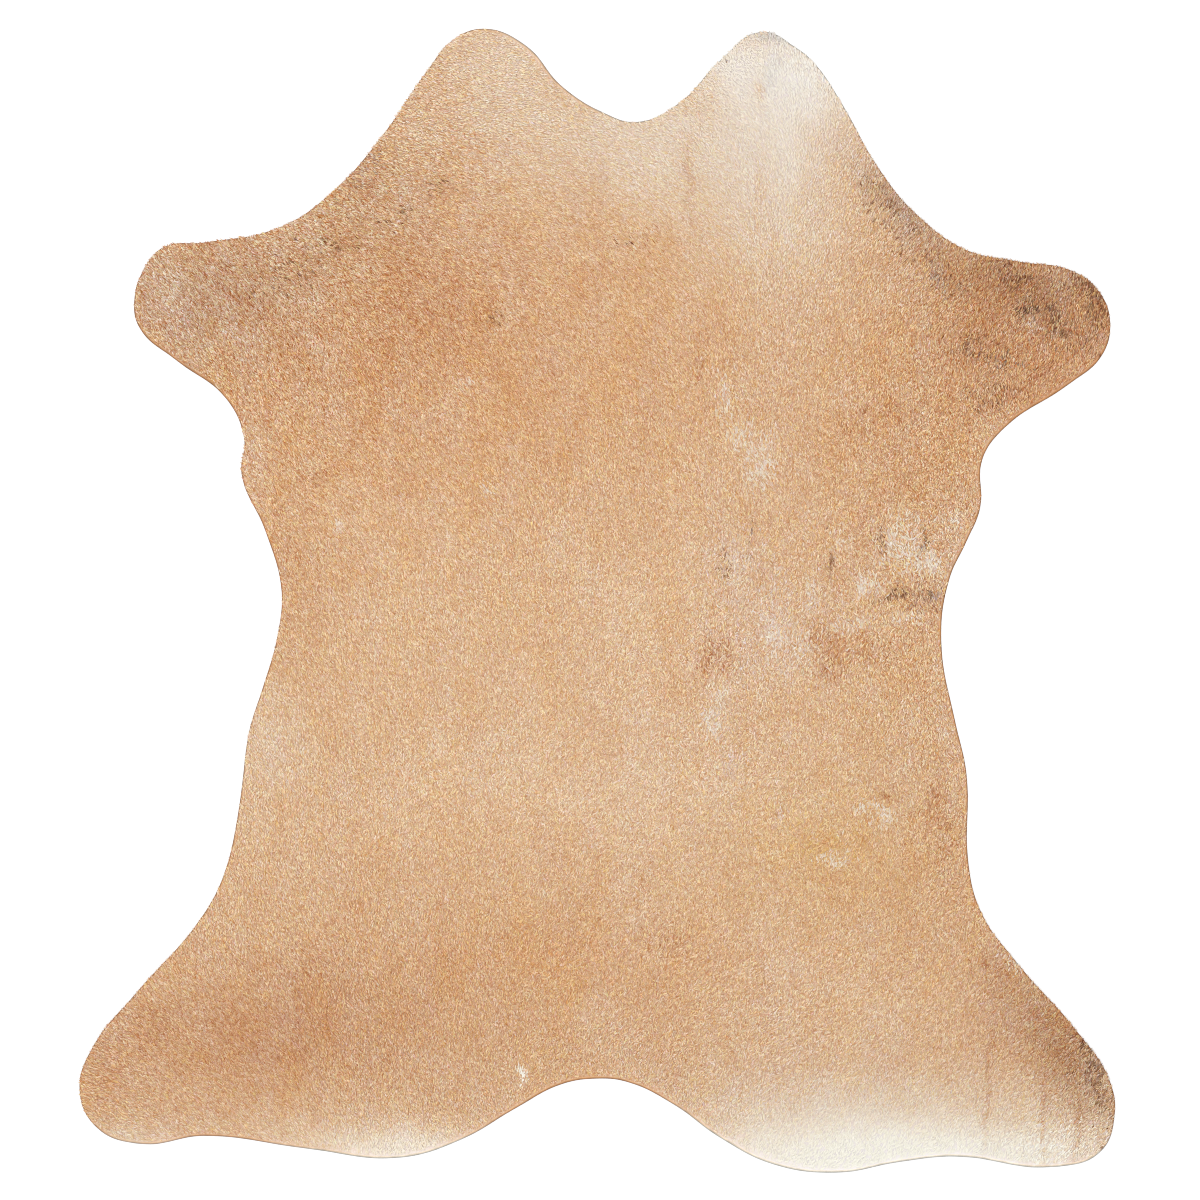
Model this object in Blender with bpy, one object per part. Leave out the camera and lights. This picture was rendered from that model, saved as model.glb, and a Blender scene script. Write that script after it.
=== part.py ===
"""Calf hide with the hair left on: one piece of leather, cut to its outline and laid flat.

Metres, +Z up.  The flesh side lies on Z = 0 and the hair side faces +Z.  +Y runs along the back
towards the two end lobes, and the hair lies with its tips that way.  The origin is the middle of
the underside of the hide's bounding box.
"""

import math
from typing import NamedTuple

import bmesh
import bpy
from mathutils import Vector

MM = 0.001

# ---------------------------------------------------------------- driving dimensions
HIDE_LENGTH = 1000 * MM  # along Y, from the end lobes to the lower edge
HIDE_WIDTH = 907 * MM  # along X, across the two lower feet

LEATHER_THICKNESS = 1.2 * MM
COAT_THICKNESS = 1.8 * MM  # the hair, which lies flat on the leather
RIM_COAT_THICKNESS = 0.9 * MM  # the hair at the cut edge, where it thins out
RIM_SHOULDER_WIDTH = 7 * MM  # how far in from the cut edge the coat is thin

RIM_STEPS = 5  # straight steps between two knots of the cut edge
SURFACE_PITCH = 42 * MM  # spacing of the points that carry the coat's swells

COAT_COLOUR = (0.66, 0.42, 0.25, 1.0)  # light fawn
COAT_ROUGHNESS = 0.72
COAT_METALLIC = 0.0


class Knot(NamedTuple):
    """A point that the cut edge passes through, in millimetres from the middle of the hide."""

    x: float
    y: float


class Swell(NamedTuple):
    """A low rise or hollow of the coat: its middle, its reach each way and its height, in mm."""

    x: float
    y: float
    reach_x: float
    reach_y: float
    height: float


# The cut edge, clockwise seen from above, by the stretches that a cutter's knife follows.
CUT_EDGE = {
    "left end lobe": (
        Knot(-149, 463),
        Knot(-127, 489),
        Knot(-100, 499),
        Knot(-62, 484),
        Knot(-31, 449),
    ),
    "hollow between the end lobes": (
        Knot(7, 425),
        Knot(34, 418),
        Knot(70, 434),
    ),
    "right end lobe": (
        Knot(108, 473),
        Knot(143, 497),
        Knot(176, 482),
        Knot(190, 470),
        Knot(211, 440),
    ),
    "right upper foot": (
        Knot(251, 372),
        Knot(279, 339),
        Knot(323, 307),
        Knot(368, 297),
        Knot(417, 288),
        Knot(441, 268),
        Knot(449, 242),
        Knot(441, 213),
        Knot(412, 188),
        Knot(356, 150),
    ),
    "right flank": (
        Knot(337, 123),
        Knot(335, 80),
        Knot(323, 51),
        Knot(308, 18),
        Knot(301, -36),
        Knot(312, -100),
        Knot(323, -152),
        Knot(325, -228),
        Knot(335, -269),
    ),
    "right lower foot": (
        Knot(368, -316),
        Knot(420, -375),
        Knot(449, -419),
        Knot(453, -450),
        Knot(440, -482),
        Knot(401, -495),
    ),
    "lower edge": (
        Knot(312, -486),
        Knot(263, -491),
        Knot(211, -500),
        Knot(155, -493),
        Knot(107, -469),
        Knot(68, -441),
        Knot(27, -421),
        Knot(0, -418),
        Knot(-31, -423),
        Knot(-71, -444),
        Knot(-118, -471),
        Knot(-172, -487),
        Knot(-254, -479),
        Knot(-343, -468),
    ),
    "left lower foot": (
        Knot(-399, -475),
        Knot(-438, -460),
        Knot(-453, -427),
        Knot(-441, -389),
        Knot(-404, -343),
        Knot(-345, -275),
        Knot(-326, -238),
    ),
    "left flank": (
        Knot(-312, -175),
        Knot(-304, -113),
        Knot(-293, -78),
        Knot(-280, -32),
        Knot(-276, 9),
        Knot(-290, 61),
        Knot(-311, 110),
    ),
    "left upper foot": (
        Knot(-309, 143),
        Knot(-324, 176),
        Knot(-367, 209),
        Knot(-400, 238),
        Knot(-405, 262),
        Knot(-397, 289),
        Knot(-379, 309),
        Knot(-344, 313),
        Knot(-276, 327),
        Knot(-231, 358),
        Knot(-187, 408),
    ),
}

# Where the coat stands a little higher or lower than on the rest of the hide.
SWELLS = {
    "ridge of the back": Swell(0, -40, 110, 460, 0.45),
    "left shoulder": Swell(-230, 250, 120, 90, 0.25),
    "right shoulder": Swell(300, 250, 110, 70, 0.20),
    "hollow by the left flank": Swell(-190, 20, 80, 150, -0.30),
    "hollow by the right flank": Swell(220, -20, 80, 170, -0.30),
    "left lower foot": Swell(-330, -390, 110, 80, 0.25),
    "right lower foot": Swell(330, -390, 110, 90, 0.20),
}


def clear_scene() -> None:
    """Remove every object of the scene."""
    for existing in list(bpy.data.objects):
        bpy.data.objects.remove(existing, do_unlink=True)


def new_collection(name: str) -> bpy.types.Collection:
    """Make a collection and link it to the scene."""
    collection = bpy.data.collections.new(name)
    bpy.context.scene.collection.children.link(collection)
    return collection


def coat_material() -> bpy.types.Material:
    """Make the plain fawn finish of the hide."""
    material = bpy.data.materials.new("fawn_hair")
    material.use_nodes = True
    shader = material.node_tree.nodes["Principled BSDF"]
    shader.inputs["Base Color"].default_value = COAT_COLOUR
    shader.inputs["Roughness"].default_value = COAT_ROUGHNESS
    shader.inputs["Metallic"].default_value = COAT_METALLIC
    return material


def cut_edge_curve(thickness: float) -> bpy.types.Object:
    """Make the slab inside the cut edge as a filled flat curve, centred on Z = 0."""
    knots = [knot for stretch in CUT_EDGE.values() for knot in stretch]
    curve = bpy.data.curves.new("cut_edge", "CURVE")
    curve.dimensions = "2D"
    curve.fill_mode = "BOTH"
    curve.extrude = thickness / 2
    curve.resolution_u = RIM_STEPS
    spline = curve.splines.new("BEZIER")
    spline.bezier_points.add(len(knots) - 1)
    spline.use_cyclic_u = True
    for point, knot in zip(spline.bezier_points, knots):
        point.co = (knot.x * MM, knot.y * MM, 0)
        point.handle_left_type = "AUTO"
        point.handle_right_type = "AUTO"
    outline = bpy.data.objects.new("cut_edge", curve)
    bpy.context.scene.collection.objects.link(outline)
    return outline


def mesh_from_curve(outline: bpy.types.Object) -> bmesh.types.BMesh:
    """Turn the filled curve into a welded mesh with one face above and one below, then drop it."""
    bpy.context.view_layer.update()
    evaluated = outline.evaluated_get(bpy.context.evaluated_depsgraph_get())
    mesh = bpy.data.meshes.new_from_object(evaluated)
    slab = bmesh.new()
    slab.from_mesh(mesh)
    bpy.data.meshes.remove(mesh)
    curve = outline.data
    bpy.data.objects.remove(outline, do_unlink=True)
    bpy.data.curves.remove(curve)
    bmesh.ops.remove_doubles(slab, verts=slab.verts, dist=0.05 * MM)
    flat = [face for face in slab.faces if abs(face.normal.z) > 0.9]
    inner = [edge for edge in slab.edges if all(face in flat for face in edge.link_faces)]
    bmesh.ops.dissolve_edges(slab, edges=inner, use_verts=False, use_face_split=False)
    bmesh.ops.recalc_face_normals(slab, faces=slab.faces)
    return slab


def fit_to_size(slab: bmesh.types.BMesh) -> None:
    """Centre the slab on the origin and bring it to the hide's exact length and width."""
    xs = [vert.co.x for vert in slab.verts]
    ys = [vert.co.y for vert in slab.verts]
    middle = Vector(((min(xs) + max(xs)) / 2, (min(ys) + max(ys)) / 2, 0))
    across = HIDE_WIDTH / (max(xs) - min(xs))
    along = HIDE_LENGTH / (max(ys) - min(ys))
    for vert in slab.verts:
        place = vert.co - middle
        vert.co = (place.x * across, place.y * along, place.z)


def coat_height(x: float, y: float) -> float:
    """Return how high the coat stands above the floor at a place inside the shoulder."""
    height = LEATHER_THICKNESS + COAT_THICKNESS
    for swell in SWELLS.values():
        away = ((x / MM - swell.x) / swell.reach_x) ** 2 + ((y / MM - swell.y) / swell.reach_y) ** 2
        height += swell.height * MM * math.exp(-away)
    return height


def split_by_planes(slab: bmesh.types.BMesh, face: bmesh.types.BMFace) -> None:
    """Cut a level face into cells of SURFACE_PITCH, to give the coat points to rise and fall by."""
    cells = [face]
    for axis, size in (("X", HIDE_WIDTH), ("Y", HIDE_LENGTH)):
        normal = Vector((1, 0, 0)) if axis == "X" else Vector((0, 1, 0))
        rows = round(size / SURFACE_PITCH)
        for row in range(1, rows):
            place = normal * (row / rows - 0.5) * size
            edges = {edge for cell in cells for edge in cell.edges}
            verts = {vert for cell in cells for vert in cell.verts}
            cut = bmesh.ops.bisect_plane(
                slab,
                geom=cells + list(edges) + list(verts),
                dist=0.01 * MM,
                plane_co=place,
                plane_no=normal,
            )
            cells = [part for part in cut["geom"] if isinstance(part, bmesh.types.BMFace)]


def build_hide(collection: bpy.types.Collection) -> bpy.types.Object:
    """Build the hide: a level underside, the cut edge, a thin shoulder and the uneven coat."""
    rim_height = LEATHER_THICKNESS + RIM_COAT_THICKNESS
    slab = mesh_from_curve(cut_edge_curve(rim_height))
    fit_to_size(slab)
    bmesh.ops.translate(slab, vec=(0, 0, rim_height / 2), verts=slab.verts)
    top = max(slab.faces, key=lambda face: face.calc_center_median().z * (face.normal.z > 0.9))
    bmesh.ops.inset_region(
        slab,
        faces=[top],
        thickness=RIM_SHOULDER_WIDTH,
        depth=0,
        use_even_offset=True,
    )
    shoulder = set(top.verts)
    split_by_planes(slab, top)
    for vert in slab.verts:
        on_rim = any(abs(face.normal.z) < 0.5 for face in vert.link_faces)
        if vert in shoulder or not on_rim:
            vert.co.z = coat_height(vert.co.x, vert.co.y)
    mesh = bpy.data.meshes.new("calf_hide")
    slab.to_mesh(mesh)
    slab.free()
    mesh.materials.append(coat_material())
    mesh.shade_smooth()
    mesh.set_sharp_from_angle(angle=math.radians(40))
    hide = bpy.data.objects.new("calf_hide", mesh)
    collection.objects.link(hide)
    return hide


clear_scene()
build_hide(new_collection("hair_on_calf_hide"))
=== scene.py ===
"""A whole light fawn calf leather with its short hair left on, laid flat on a pale floor.

Metres, with +Z up out of the hair side, +Y towards the two end lobes and +X to the right, seen from above.
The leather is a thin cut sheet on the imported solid's own outline. Its coat is grown on it in layers of
short lying locks, each lock in the shade that the coat has at its place. The tables below name the places
of the hide as a maker lays it out: two end lobes, two upper feet, two flanks, two lower feet and the lower
edge.
"""

import logging
import math
from dataclasses import dataclass, field
from enum import Enum

import bmesh
import bpy
import numpy as np
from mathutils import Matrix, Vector
from mathutils.geometry import delaunay_2d_cdt


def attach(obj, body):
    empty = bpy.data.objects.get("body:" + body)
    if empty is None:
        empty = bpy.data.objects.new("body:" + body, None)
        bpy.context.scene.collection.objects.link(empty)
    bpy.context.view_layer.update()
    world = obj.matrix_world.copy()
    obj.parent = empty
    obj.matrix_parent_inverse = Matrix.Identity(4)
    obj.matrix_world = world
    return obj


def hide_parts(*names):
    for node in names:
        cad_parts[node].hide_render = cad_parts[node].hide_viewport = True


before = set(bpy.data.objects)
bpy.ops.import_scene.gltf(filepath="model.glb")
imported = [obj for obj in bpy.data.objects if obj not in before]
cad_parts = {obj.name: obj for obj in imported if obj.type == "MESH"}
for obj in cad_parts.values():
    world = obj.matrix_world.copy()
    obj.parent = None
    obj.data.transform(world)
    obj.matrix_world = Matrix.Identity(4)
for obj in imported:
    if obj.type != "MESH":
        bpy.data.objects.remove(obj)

MM = 0.001
HIDE_NODE = "calf_hide"
HIDE_BODY = "root"
SHADE_ATTRIBUTE = "hair_shade"
GRAIN_ATTRIBUTE = "hair_grain"
LOCK_ATTRIBUTE = "lock_place"
LEAN_ATTRIBUTE = "hair_lean"
STRAY_ATTRIBUTE = "hair_stray"
BAKE_MAP = "OFBake"
LUMINANCE = np.array([0.2126, 0.7152, 0.0722])
COAT_FALL = 1.4  # How fast a marking or a ruff fades: at its reach, a quarter of it is left.
LOG = logging.getLogger("calf_hide")

Colour = tuple[float, float, float]
Corners = tuple[tuple[float, float], ...]
Operand = bpy.types.NodeSocket | float | tuple[float, ...]


class Shade(Enum):
    """Shades of the hair as the eye sees them: sRGB from 0 to 255, then how much single locks differ."""

    FAWN = (215, 171, 129, 1.0)
    SAND = (223, 186, 148, 0.9)
    HONEY = (213, 160, 111, 1.1)
    RUST = (187, 126, 82, 1.2)
    UMBER = (122, 74, 41, 1.35)
    SOOT = (90, 50, 22, 1.2)
    SMOKE = (171, 138, 118, 1.3)
    SLATE = (124, 100, 84, 1.2)
    LILAC = (217, 186, 161, 0.9)
    STRAW = (216, 170, 112, 0.8)
    CREAM = (224, 205, 183, 0.32)
    ASH = (188, 182, 176, 0.20)
    IVORY = (237, 225, 206, 0.04)
    PEARL = (230, 216, 199, 0.04)

    def colour(self) -> np.ndarray:
        """Gives the shade as three sRGB numbers from 0 to 1."""
        return np.array(self.value[:3]) / 255.0

    def grain(self) -> float:
        """Gives how strongly single locks differ in this shade, where 1 is the middle of the hide."""
        return self.value[3]


class Surface(Enum):
    """The leather's surfaces, in the order of its material slots."""

    HAIR_SIDE = 0
    CUT_EDGE = 1
    FLESH_SIDE = 2


class Draw(Enum):
    """The random draws for each lock, as what each one adds to the layer's seed. A turn takes two draws."""

    PITCH = 1
    ROLL = 3
    SPLAY = 5
    WIDTH = 7
    LENGTH = 8


@dataclass(frozen=True)
class Patch:
    """A soft-edged oval place on the hide: its middle and its two reaches, in millimetres."""

    place: str
    x: float
    y: float
    reach_x: float
    reach_y: float

    def nearness(self, places: np.ndarray, fall: float, turn: float = 0.0) -> np.ndarray:
        """Works out how near points lie to the middle.

        Args:
            places: x and y of each point, in metres.
            fall: how fast the nearness falls off.
            turn: the oval's turn counter-clockwise, in degrees.

        Returns:
            A number for each point, which is 1 in the middle and falls towards 0 outwards.
        """
        away = places / MM - np.array([self.x, self.y])
        along_turn, across_turn = math.cos(math.radians(turn)), math.sin(math.radians(turn))
        along = away[:, 0] * along_turn + away[:, 1] * across_turn
        across = away[:, 1] * along_turn - away[:, 0] * across_turn
        return np.exp(-fall * ((along / self.reach_x) ** 2 + (across / self.reach_y) ** 2))


@dataclass(frozen=True)
class Marking(Patch):
    """A soft patch of another shade in the coat, turned by some degrees, with a strength from 0 to 1."""

    turn: float
    shade: Shade
    strength: float

    def cover(self, places: np.ndarray) -> np.ndarray:
        """Gives the share of each lock that this marking takes, from 0 to 1."""
        return self.strength * self.nearness(places, COAT_FALL, self.turn)


@dataclass(frozen=True)
class Ruff(Patch):
    """A place where the coat is rougher than in the middle of the hide, and by what share."""

    gain: float

    def lift(self, places: np.ndarray) -> np.ndarray:
        """Gives how rough the coat is at each lock, where 1 is the middle of the hide."""
        return 1.0 + self.gain * self.nearness(places, COAT_FALL)


@dataclass(frozen=True)
class Swell(Patch):
    """A place where the leather lies higher or lower, and by how many millimetres."""

    rise: float

    def height(self, places: np.ndarray) -> np.ndarray:
        """Gives how far the swell raises the leather at each point, in metres."""
        return self.rise * MM * self.nearness(places, 1.0)


@dataclass(frozen=True)
class Trough:
    """A soft crease in the leather: its two ends, its half width and its depth, in millimetres."""

    place: str
    start: tuple[float, float]
    end: tuple[float, float]
    half_width: float
    depth: float

    def height(self, places: np.ndarray) -> np.ndarray:
        """Works out how far the crease lowers the leather.

        Args:
            places: x and y of each point, in metres.

        Returns:
            A negative height in metres for each point.
        """
        start = np.array(self.start) * MM
        run = np.array(self.end) * MM - start
        share = np.clip((places - start) @ run / (run @ run), 0.0, 1.0)
        away = np.linalg.norm(places - start - share[:, None] * run, axis=1)
        return -self.depth * MM * np.exp(-((away / (self.half_width * MM)) ** 2))


@dataclass(frozen=True)
class Lay:
    """The way the hair lies at one place: x and y in millimetres, lean in degrees from +Y towards +X.

    stray tells how far single locks lie from the lean, where 1 is a smooth coat.
    """

    place: str
    x: float
    y: float
    lean: float
    stray: float


@dataclass(frozen=True)
class Fringe:
    """A stretch of the outline where hair tips reach past it: middle, reach and overhang in millimetres."""

    place: str
    x: float
    y: float
    reach: float
    overhang: float

    def length(self, places: np.ndarray) -> np.ndarray:
        """Gives how far each tip may pass the outline, in metres."""
        away = np.linalg.norm(places / MM - np.array([self.x, self.y]), axis=1)
        return self.overhang * MM * np.exp(-((away / self.reach) ** 2))


LAYS = (
    Lay("left end lobe, tip", -85, 470, -82, 1.5),
    Lay("left end lobe, root", -90, 400, -72, 1.1),
    Lay("left end lobe, outer side", -165, 390, -74, 1.1),
    Lay("hollow between the lobes", 40, 400, -62, 1.3),
    Lay("right end lobe, inner side", 110, 455, -70, 2.2),
    Lay("right end lobe, tip", 165, 465, -25, 2.9),
    Lay("right end lobe, outer side", 200, 430, 25, 2.6),
    Lay("right end lobe, root", 130, 395, -36, 2.2),
    Lay("right side below the lobe", 215, 340, 18, 2.2),
    Lay("above the right upper foot", 275, 290, 30, 1.5),
    Lay("left upper foot", -370, 275, -46, 1.1),
    Lay("left side above the foot", -220, 330, -60, 1.0),
    Lay("left side below the foot", -290, 190, -32, 1.0),
    Lay("upper back, left", -85, 330, -58, 1.0),
    Lay("upper back, right", 60, 330, -50, 1.1),
    Lay("right upper foot, root", 330, 250, 22, 1.7),
    Lay("right upper foot, tip", 415, 255, 14, 1.5),
    Lay("right side below the foot", 290, 180, 4, 3.2),
    Lay("shoulder, left", -140, 220, -38, 1.0),
    Lay("shoulder, middle", 20, 230, -38, 1.2),
    Lay("shoulder, right", 170, 220, -8, 2.6),
    Lay("left flank, upper end", -260, 110, -37, 1.1),
    Lay("upper middle, left", -130, 110, -32, 1.2),
    Lay("upper middle, right", 70, 120, -20, 2.6),
    Lay("right flank, upper end", 280, 90, -9, 3.6),
    Lay("left flank, middle", -240, -40, -24, 1.5),
    Lay("middle, left", -130, 0, -18, 2.4),
    Lay("middle", -10, 0, -6, 3.6),
    Lay("middle, right", 140, 0, 0, 3.4),
    Lay("right flank, middle", 250, -40, -3, 2.9),
    Lay("left flank, lower end", -270, -190, -12, 2.1),
    Lay("lower middle, left", -140, -170, -5, 3.1),
    Lay("lower middle", 0, -170, 7, 3.9),
    Lay("lower middle, right", 150, -180, 3, 3.9),
    Lay("right flank, lower end", 280, -190, 2, 3.2),
    Lay("above the left lower foot", -280, -320, -20, 1.9),
    Lay("left lower foot, root", -330, -390, -42, 1.1),
    Lay("left lower foot, tip", -430, -430, -60, 1.2),
    Lay("lower edge, left", -140, -400, -13, 2.6),
    Lay("lower edge, middle", -20, -380, 10, 3.6),
    Lay("lower edge, right", 110, -400, 24, 3.2),
    Lay("above the right lower foot", 250, -330, 14, 3.2),
    Lay("right lower foot, root", 300, -400, 24, 2.6),
    Lay("right lower foot, tip", 410, -430, 36, 2.2),
)

ZONES = (
    Marking("wide light middle", 0, -20, 300, 190, 0, Shade.SAND, 0.55),
    Marking("warm shoulders", -100, 185, 235, 140, 8, Shade.HONEY, 0.54),
    Marking("deeper left shoulder", -140, 235, 190, 115, 4, Shade.RUST, 0.16),
    Marking("warm right side", 262, 194, 95, 108, 0, Shade.HONEY, 0.44),
    Marking("left end lobe", -67, 440, 95, 80, 0, Shade.CREAM, 0.42),
    Marking("hollow between the lobes", 40, 394, 115, 62, 0, Shade.CREAM, 0.46),
    Marking("hollow, paler rim", 40, 422, 96, 34, 0, Shade.PEARL, 0.22),
    Marking("left end lobe, paler tip", -85, 484, 62, 34, 0, Shade.PEARL, 0.24),
    Marking("right end lobe, fading left", 112, 365, 85, 80, 0, Shade.CREAM, 0.46),
    Marking("right end lobe", 170, 452, 84, 85, 0, Shade.PEARL, 0.92),
    Marking("right end lobe, inner side", 119, 468, 35, 36, -20, Shade.PEARL, 0.78),
    Marking("right end lobe, fading down", 168, 335, 62, 82, 0, Shade.CREAM, 0.50),
    Marking("left side band", -235, 315, 130, 58, 40, Shade.SMOKE, 0.22),
    Marking("left side band, inner part", -190, 250, 120, 60, 30, Shade.RUST, 0.14),
    Marking("left upper foot", -350, 268, 76, 60, -10, Shade.SMOKE, 0.44),
    Marking("left flank, upper part", -272, 20, 60, 110, 0, Shade.RUST, 0.13),
    Marking("right upper foot", 380, 240, 108, 84, -16, Shade.RUST, 0.52),
    Marking("right upper foot, dark heart", 376, 274, 90, 34, -16, Shade.UMBER, 0.26),
    Marking("edge above the right upper foot", 268, 344, 64, 20, -46, Shade.SMOKE, 0.56),
    Marking("left flank", -288, -130, 44, 70, 0, Shade.CREAM, 0.36),
    Marking("light band below the middle", -10, -172, 300, 58, 0, Shade.SAND, 0.70),
    Marking("right side below the middle", 205, -215, 90, 70, 0, Shade.STRAW, 0.46),
    Marking("lower middle", -10, -315, 210, 46, 0, Shade.HONEY, 0.34),
    Marking("lower right, light", 225, -355, 120, 60, 0, Shade.SAND, 0.55),
    Marking("lower middle, right", 140, -290, 70, 50, 0, Shade.SAND, 0.40),
    Marking("left lower foot", -290, -378, 200, 70, 8, Shade.RUST, 0.44),
    Marking("lower edge, left pale band", -168, -487, 125, 36, -4, Shade.IVORY, 0.82),
    Marking("left lower foot, pale rim", -400, -474, 70, 22, -4, Shade.CREAM, 0.58),
    Marking("lower edge, right, fading up", 236, -440, 180, 46, 0, Shade.CREAM, 0.57),
    Marking("lower edge, right pale band", 245, -494, 235, 48, 0, Shade.IVORY, 1.0),
    Marking("lower edge, right pale heart", 262, -482, 190, 34, 0, Shade.IVORY, 0.95),
    Marking("right lower foot, outer edge", 408, -392, 92, 34, -56, Shade.UMBER, 0.27),
    Marking("right lower foot, heart", 366, -368, 56, 52, -40, Shade.RUST, 0.22),
    # The thin grey line along the right lobe's rim and the soft grey streak below it are painted shadow.
    Marking("right lobe, thin grey rim", 156, 491, 28, 4, -20, Shade.ASH, 0.60),
    Marking("right lobe, grey streak", 153, 462, 9, 26, -8, Shade.ASH, 0.26),
    Marking("right lobe, tan streak", 141, 444, 5, 14, 10, Shade.HONEY, 0.34),
    Marking("right lobe, warm streak", 81, 372, 5, 42, 2, Shade.RUST, 0.30),
    Marking("right lobe, second streak", 140, 350, 6, 40, -3, Shade.HONEY, 0.20),
    Marking("right lobe, third streak", 178, 335, 4, 36, 0, Shade.HONEY, 0.22),
    Marking("right lobe, fourth streak", 152, 300, 4, 34, 0, Shade.HONEY, 0.22),
    Marking("right lobe, light streak", 166, 388, 15, 38, 2, Shade.PEARL, 0.34),
    Marking("right flank, dark line in the scar", 283, 50, 1.8, 11, -14, Shade.SOOT, 1.00),
    Marking("right of the middle, dark line", 203, 33, 1.6, 12, 5, Shade.SOOT, 0.60),
    # The three thin darker lines along the right lower foot's creases are painted shade in the creases.
    Marking("right lower foot, inner crease", 342, -414, 1.8, 64, -5, Shade.RUST, 0.52),
    Marking("right lower foot, middle crease", 393, -450, 1.6, 38, -4, Shade.RUST, 0.60),
    Marking("right lower foot, outer crease", 421, -455, 1.6, 30, -2, Shade.RUST, 0.60),
)

RUFFS = (
    Ruff("left shoulder", -270, 288, 205, 185, 0.78),
    Ruff("right side", 300, 190, 90, 150, 0.34),
    Ruff("right upper foot", 395, 262, 80, 70, 0.40),
    Ruff("right flank", 275, 0, 70, 170, 0.26),
    Ruff("left flank", -290, 60, 60, 120, 0.16),
    Ruff("left lower foot", -380, -375, 120, 60, 0.18),
    Ruff("right lower foot", 430, -375, 46, 70, 0.44),
)

FRINGES = (
    Fringe("left lobe, outer side", -158, 428, 26, 2.6),
    Fringe("left lobe, lower outer side", -190, 385, 30, 1.4),
    Fringe("left upper foot, upper corner", -379, 310, 6, 13.0),
    Fringe("left upper foot, upper rim", -330, 316, 40, 1.4),
    Fringe("hollow between the lobes, left", -6, 430, 12, 2.2),
    Fringe("right lobe, inner side", 112, 470, 16, 2.4),
    Fringe("right lobe, tip", 142, 496, 14, 3.2),
    Fringe("right lobe, outer rim", 196, 468, 20, 1.4),
    Fringe("right upper foot, upper rim", 360, 318, 60, 0.8),
    Fringe("right flank, upper end", 333, 115, 40, 1.6),
    Fringe("left flank, upper end", -308, 115, 40, 1.4),
    Fringe("right lower foot, outer rim", 450, -420, 40, 1.0),
)


def marked(part: str, rows: tuple[tuple[str | float | Shade, ...], ...]) -> tuple[Marking, ...]:
    """Gives the markings of one part of the hide, each from its own words and numbers."""
    return tuple(Marking(f"{part}, {words}", *numbers) for words, *numbers in rows)


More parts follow.
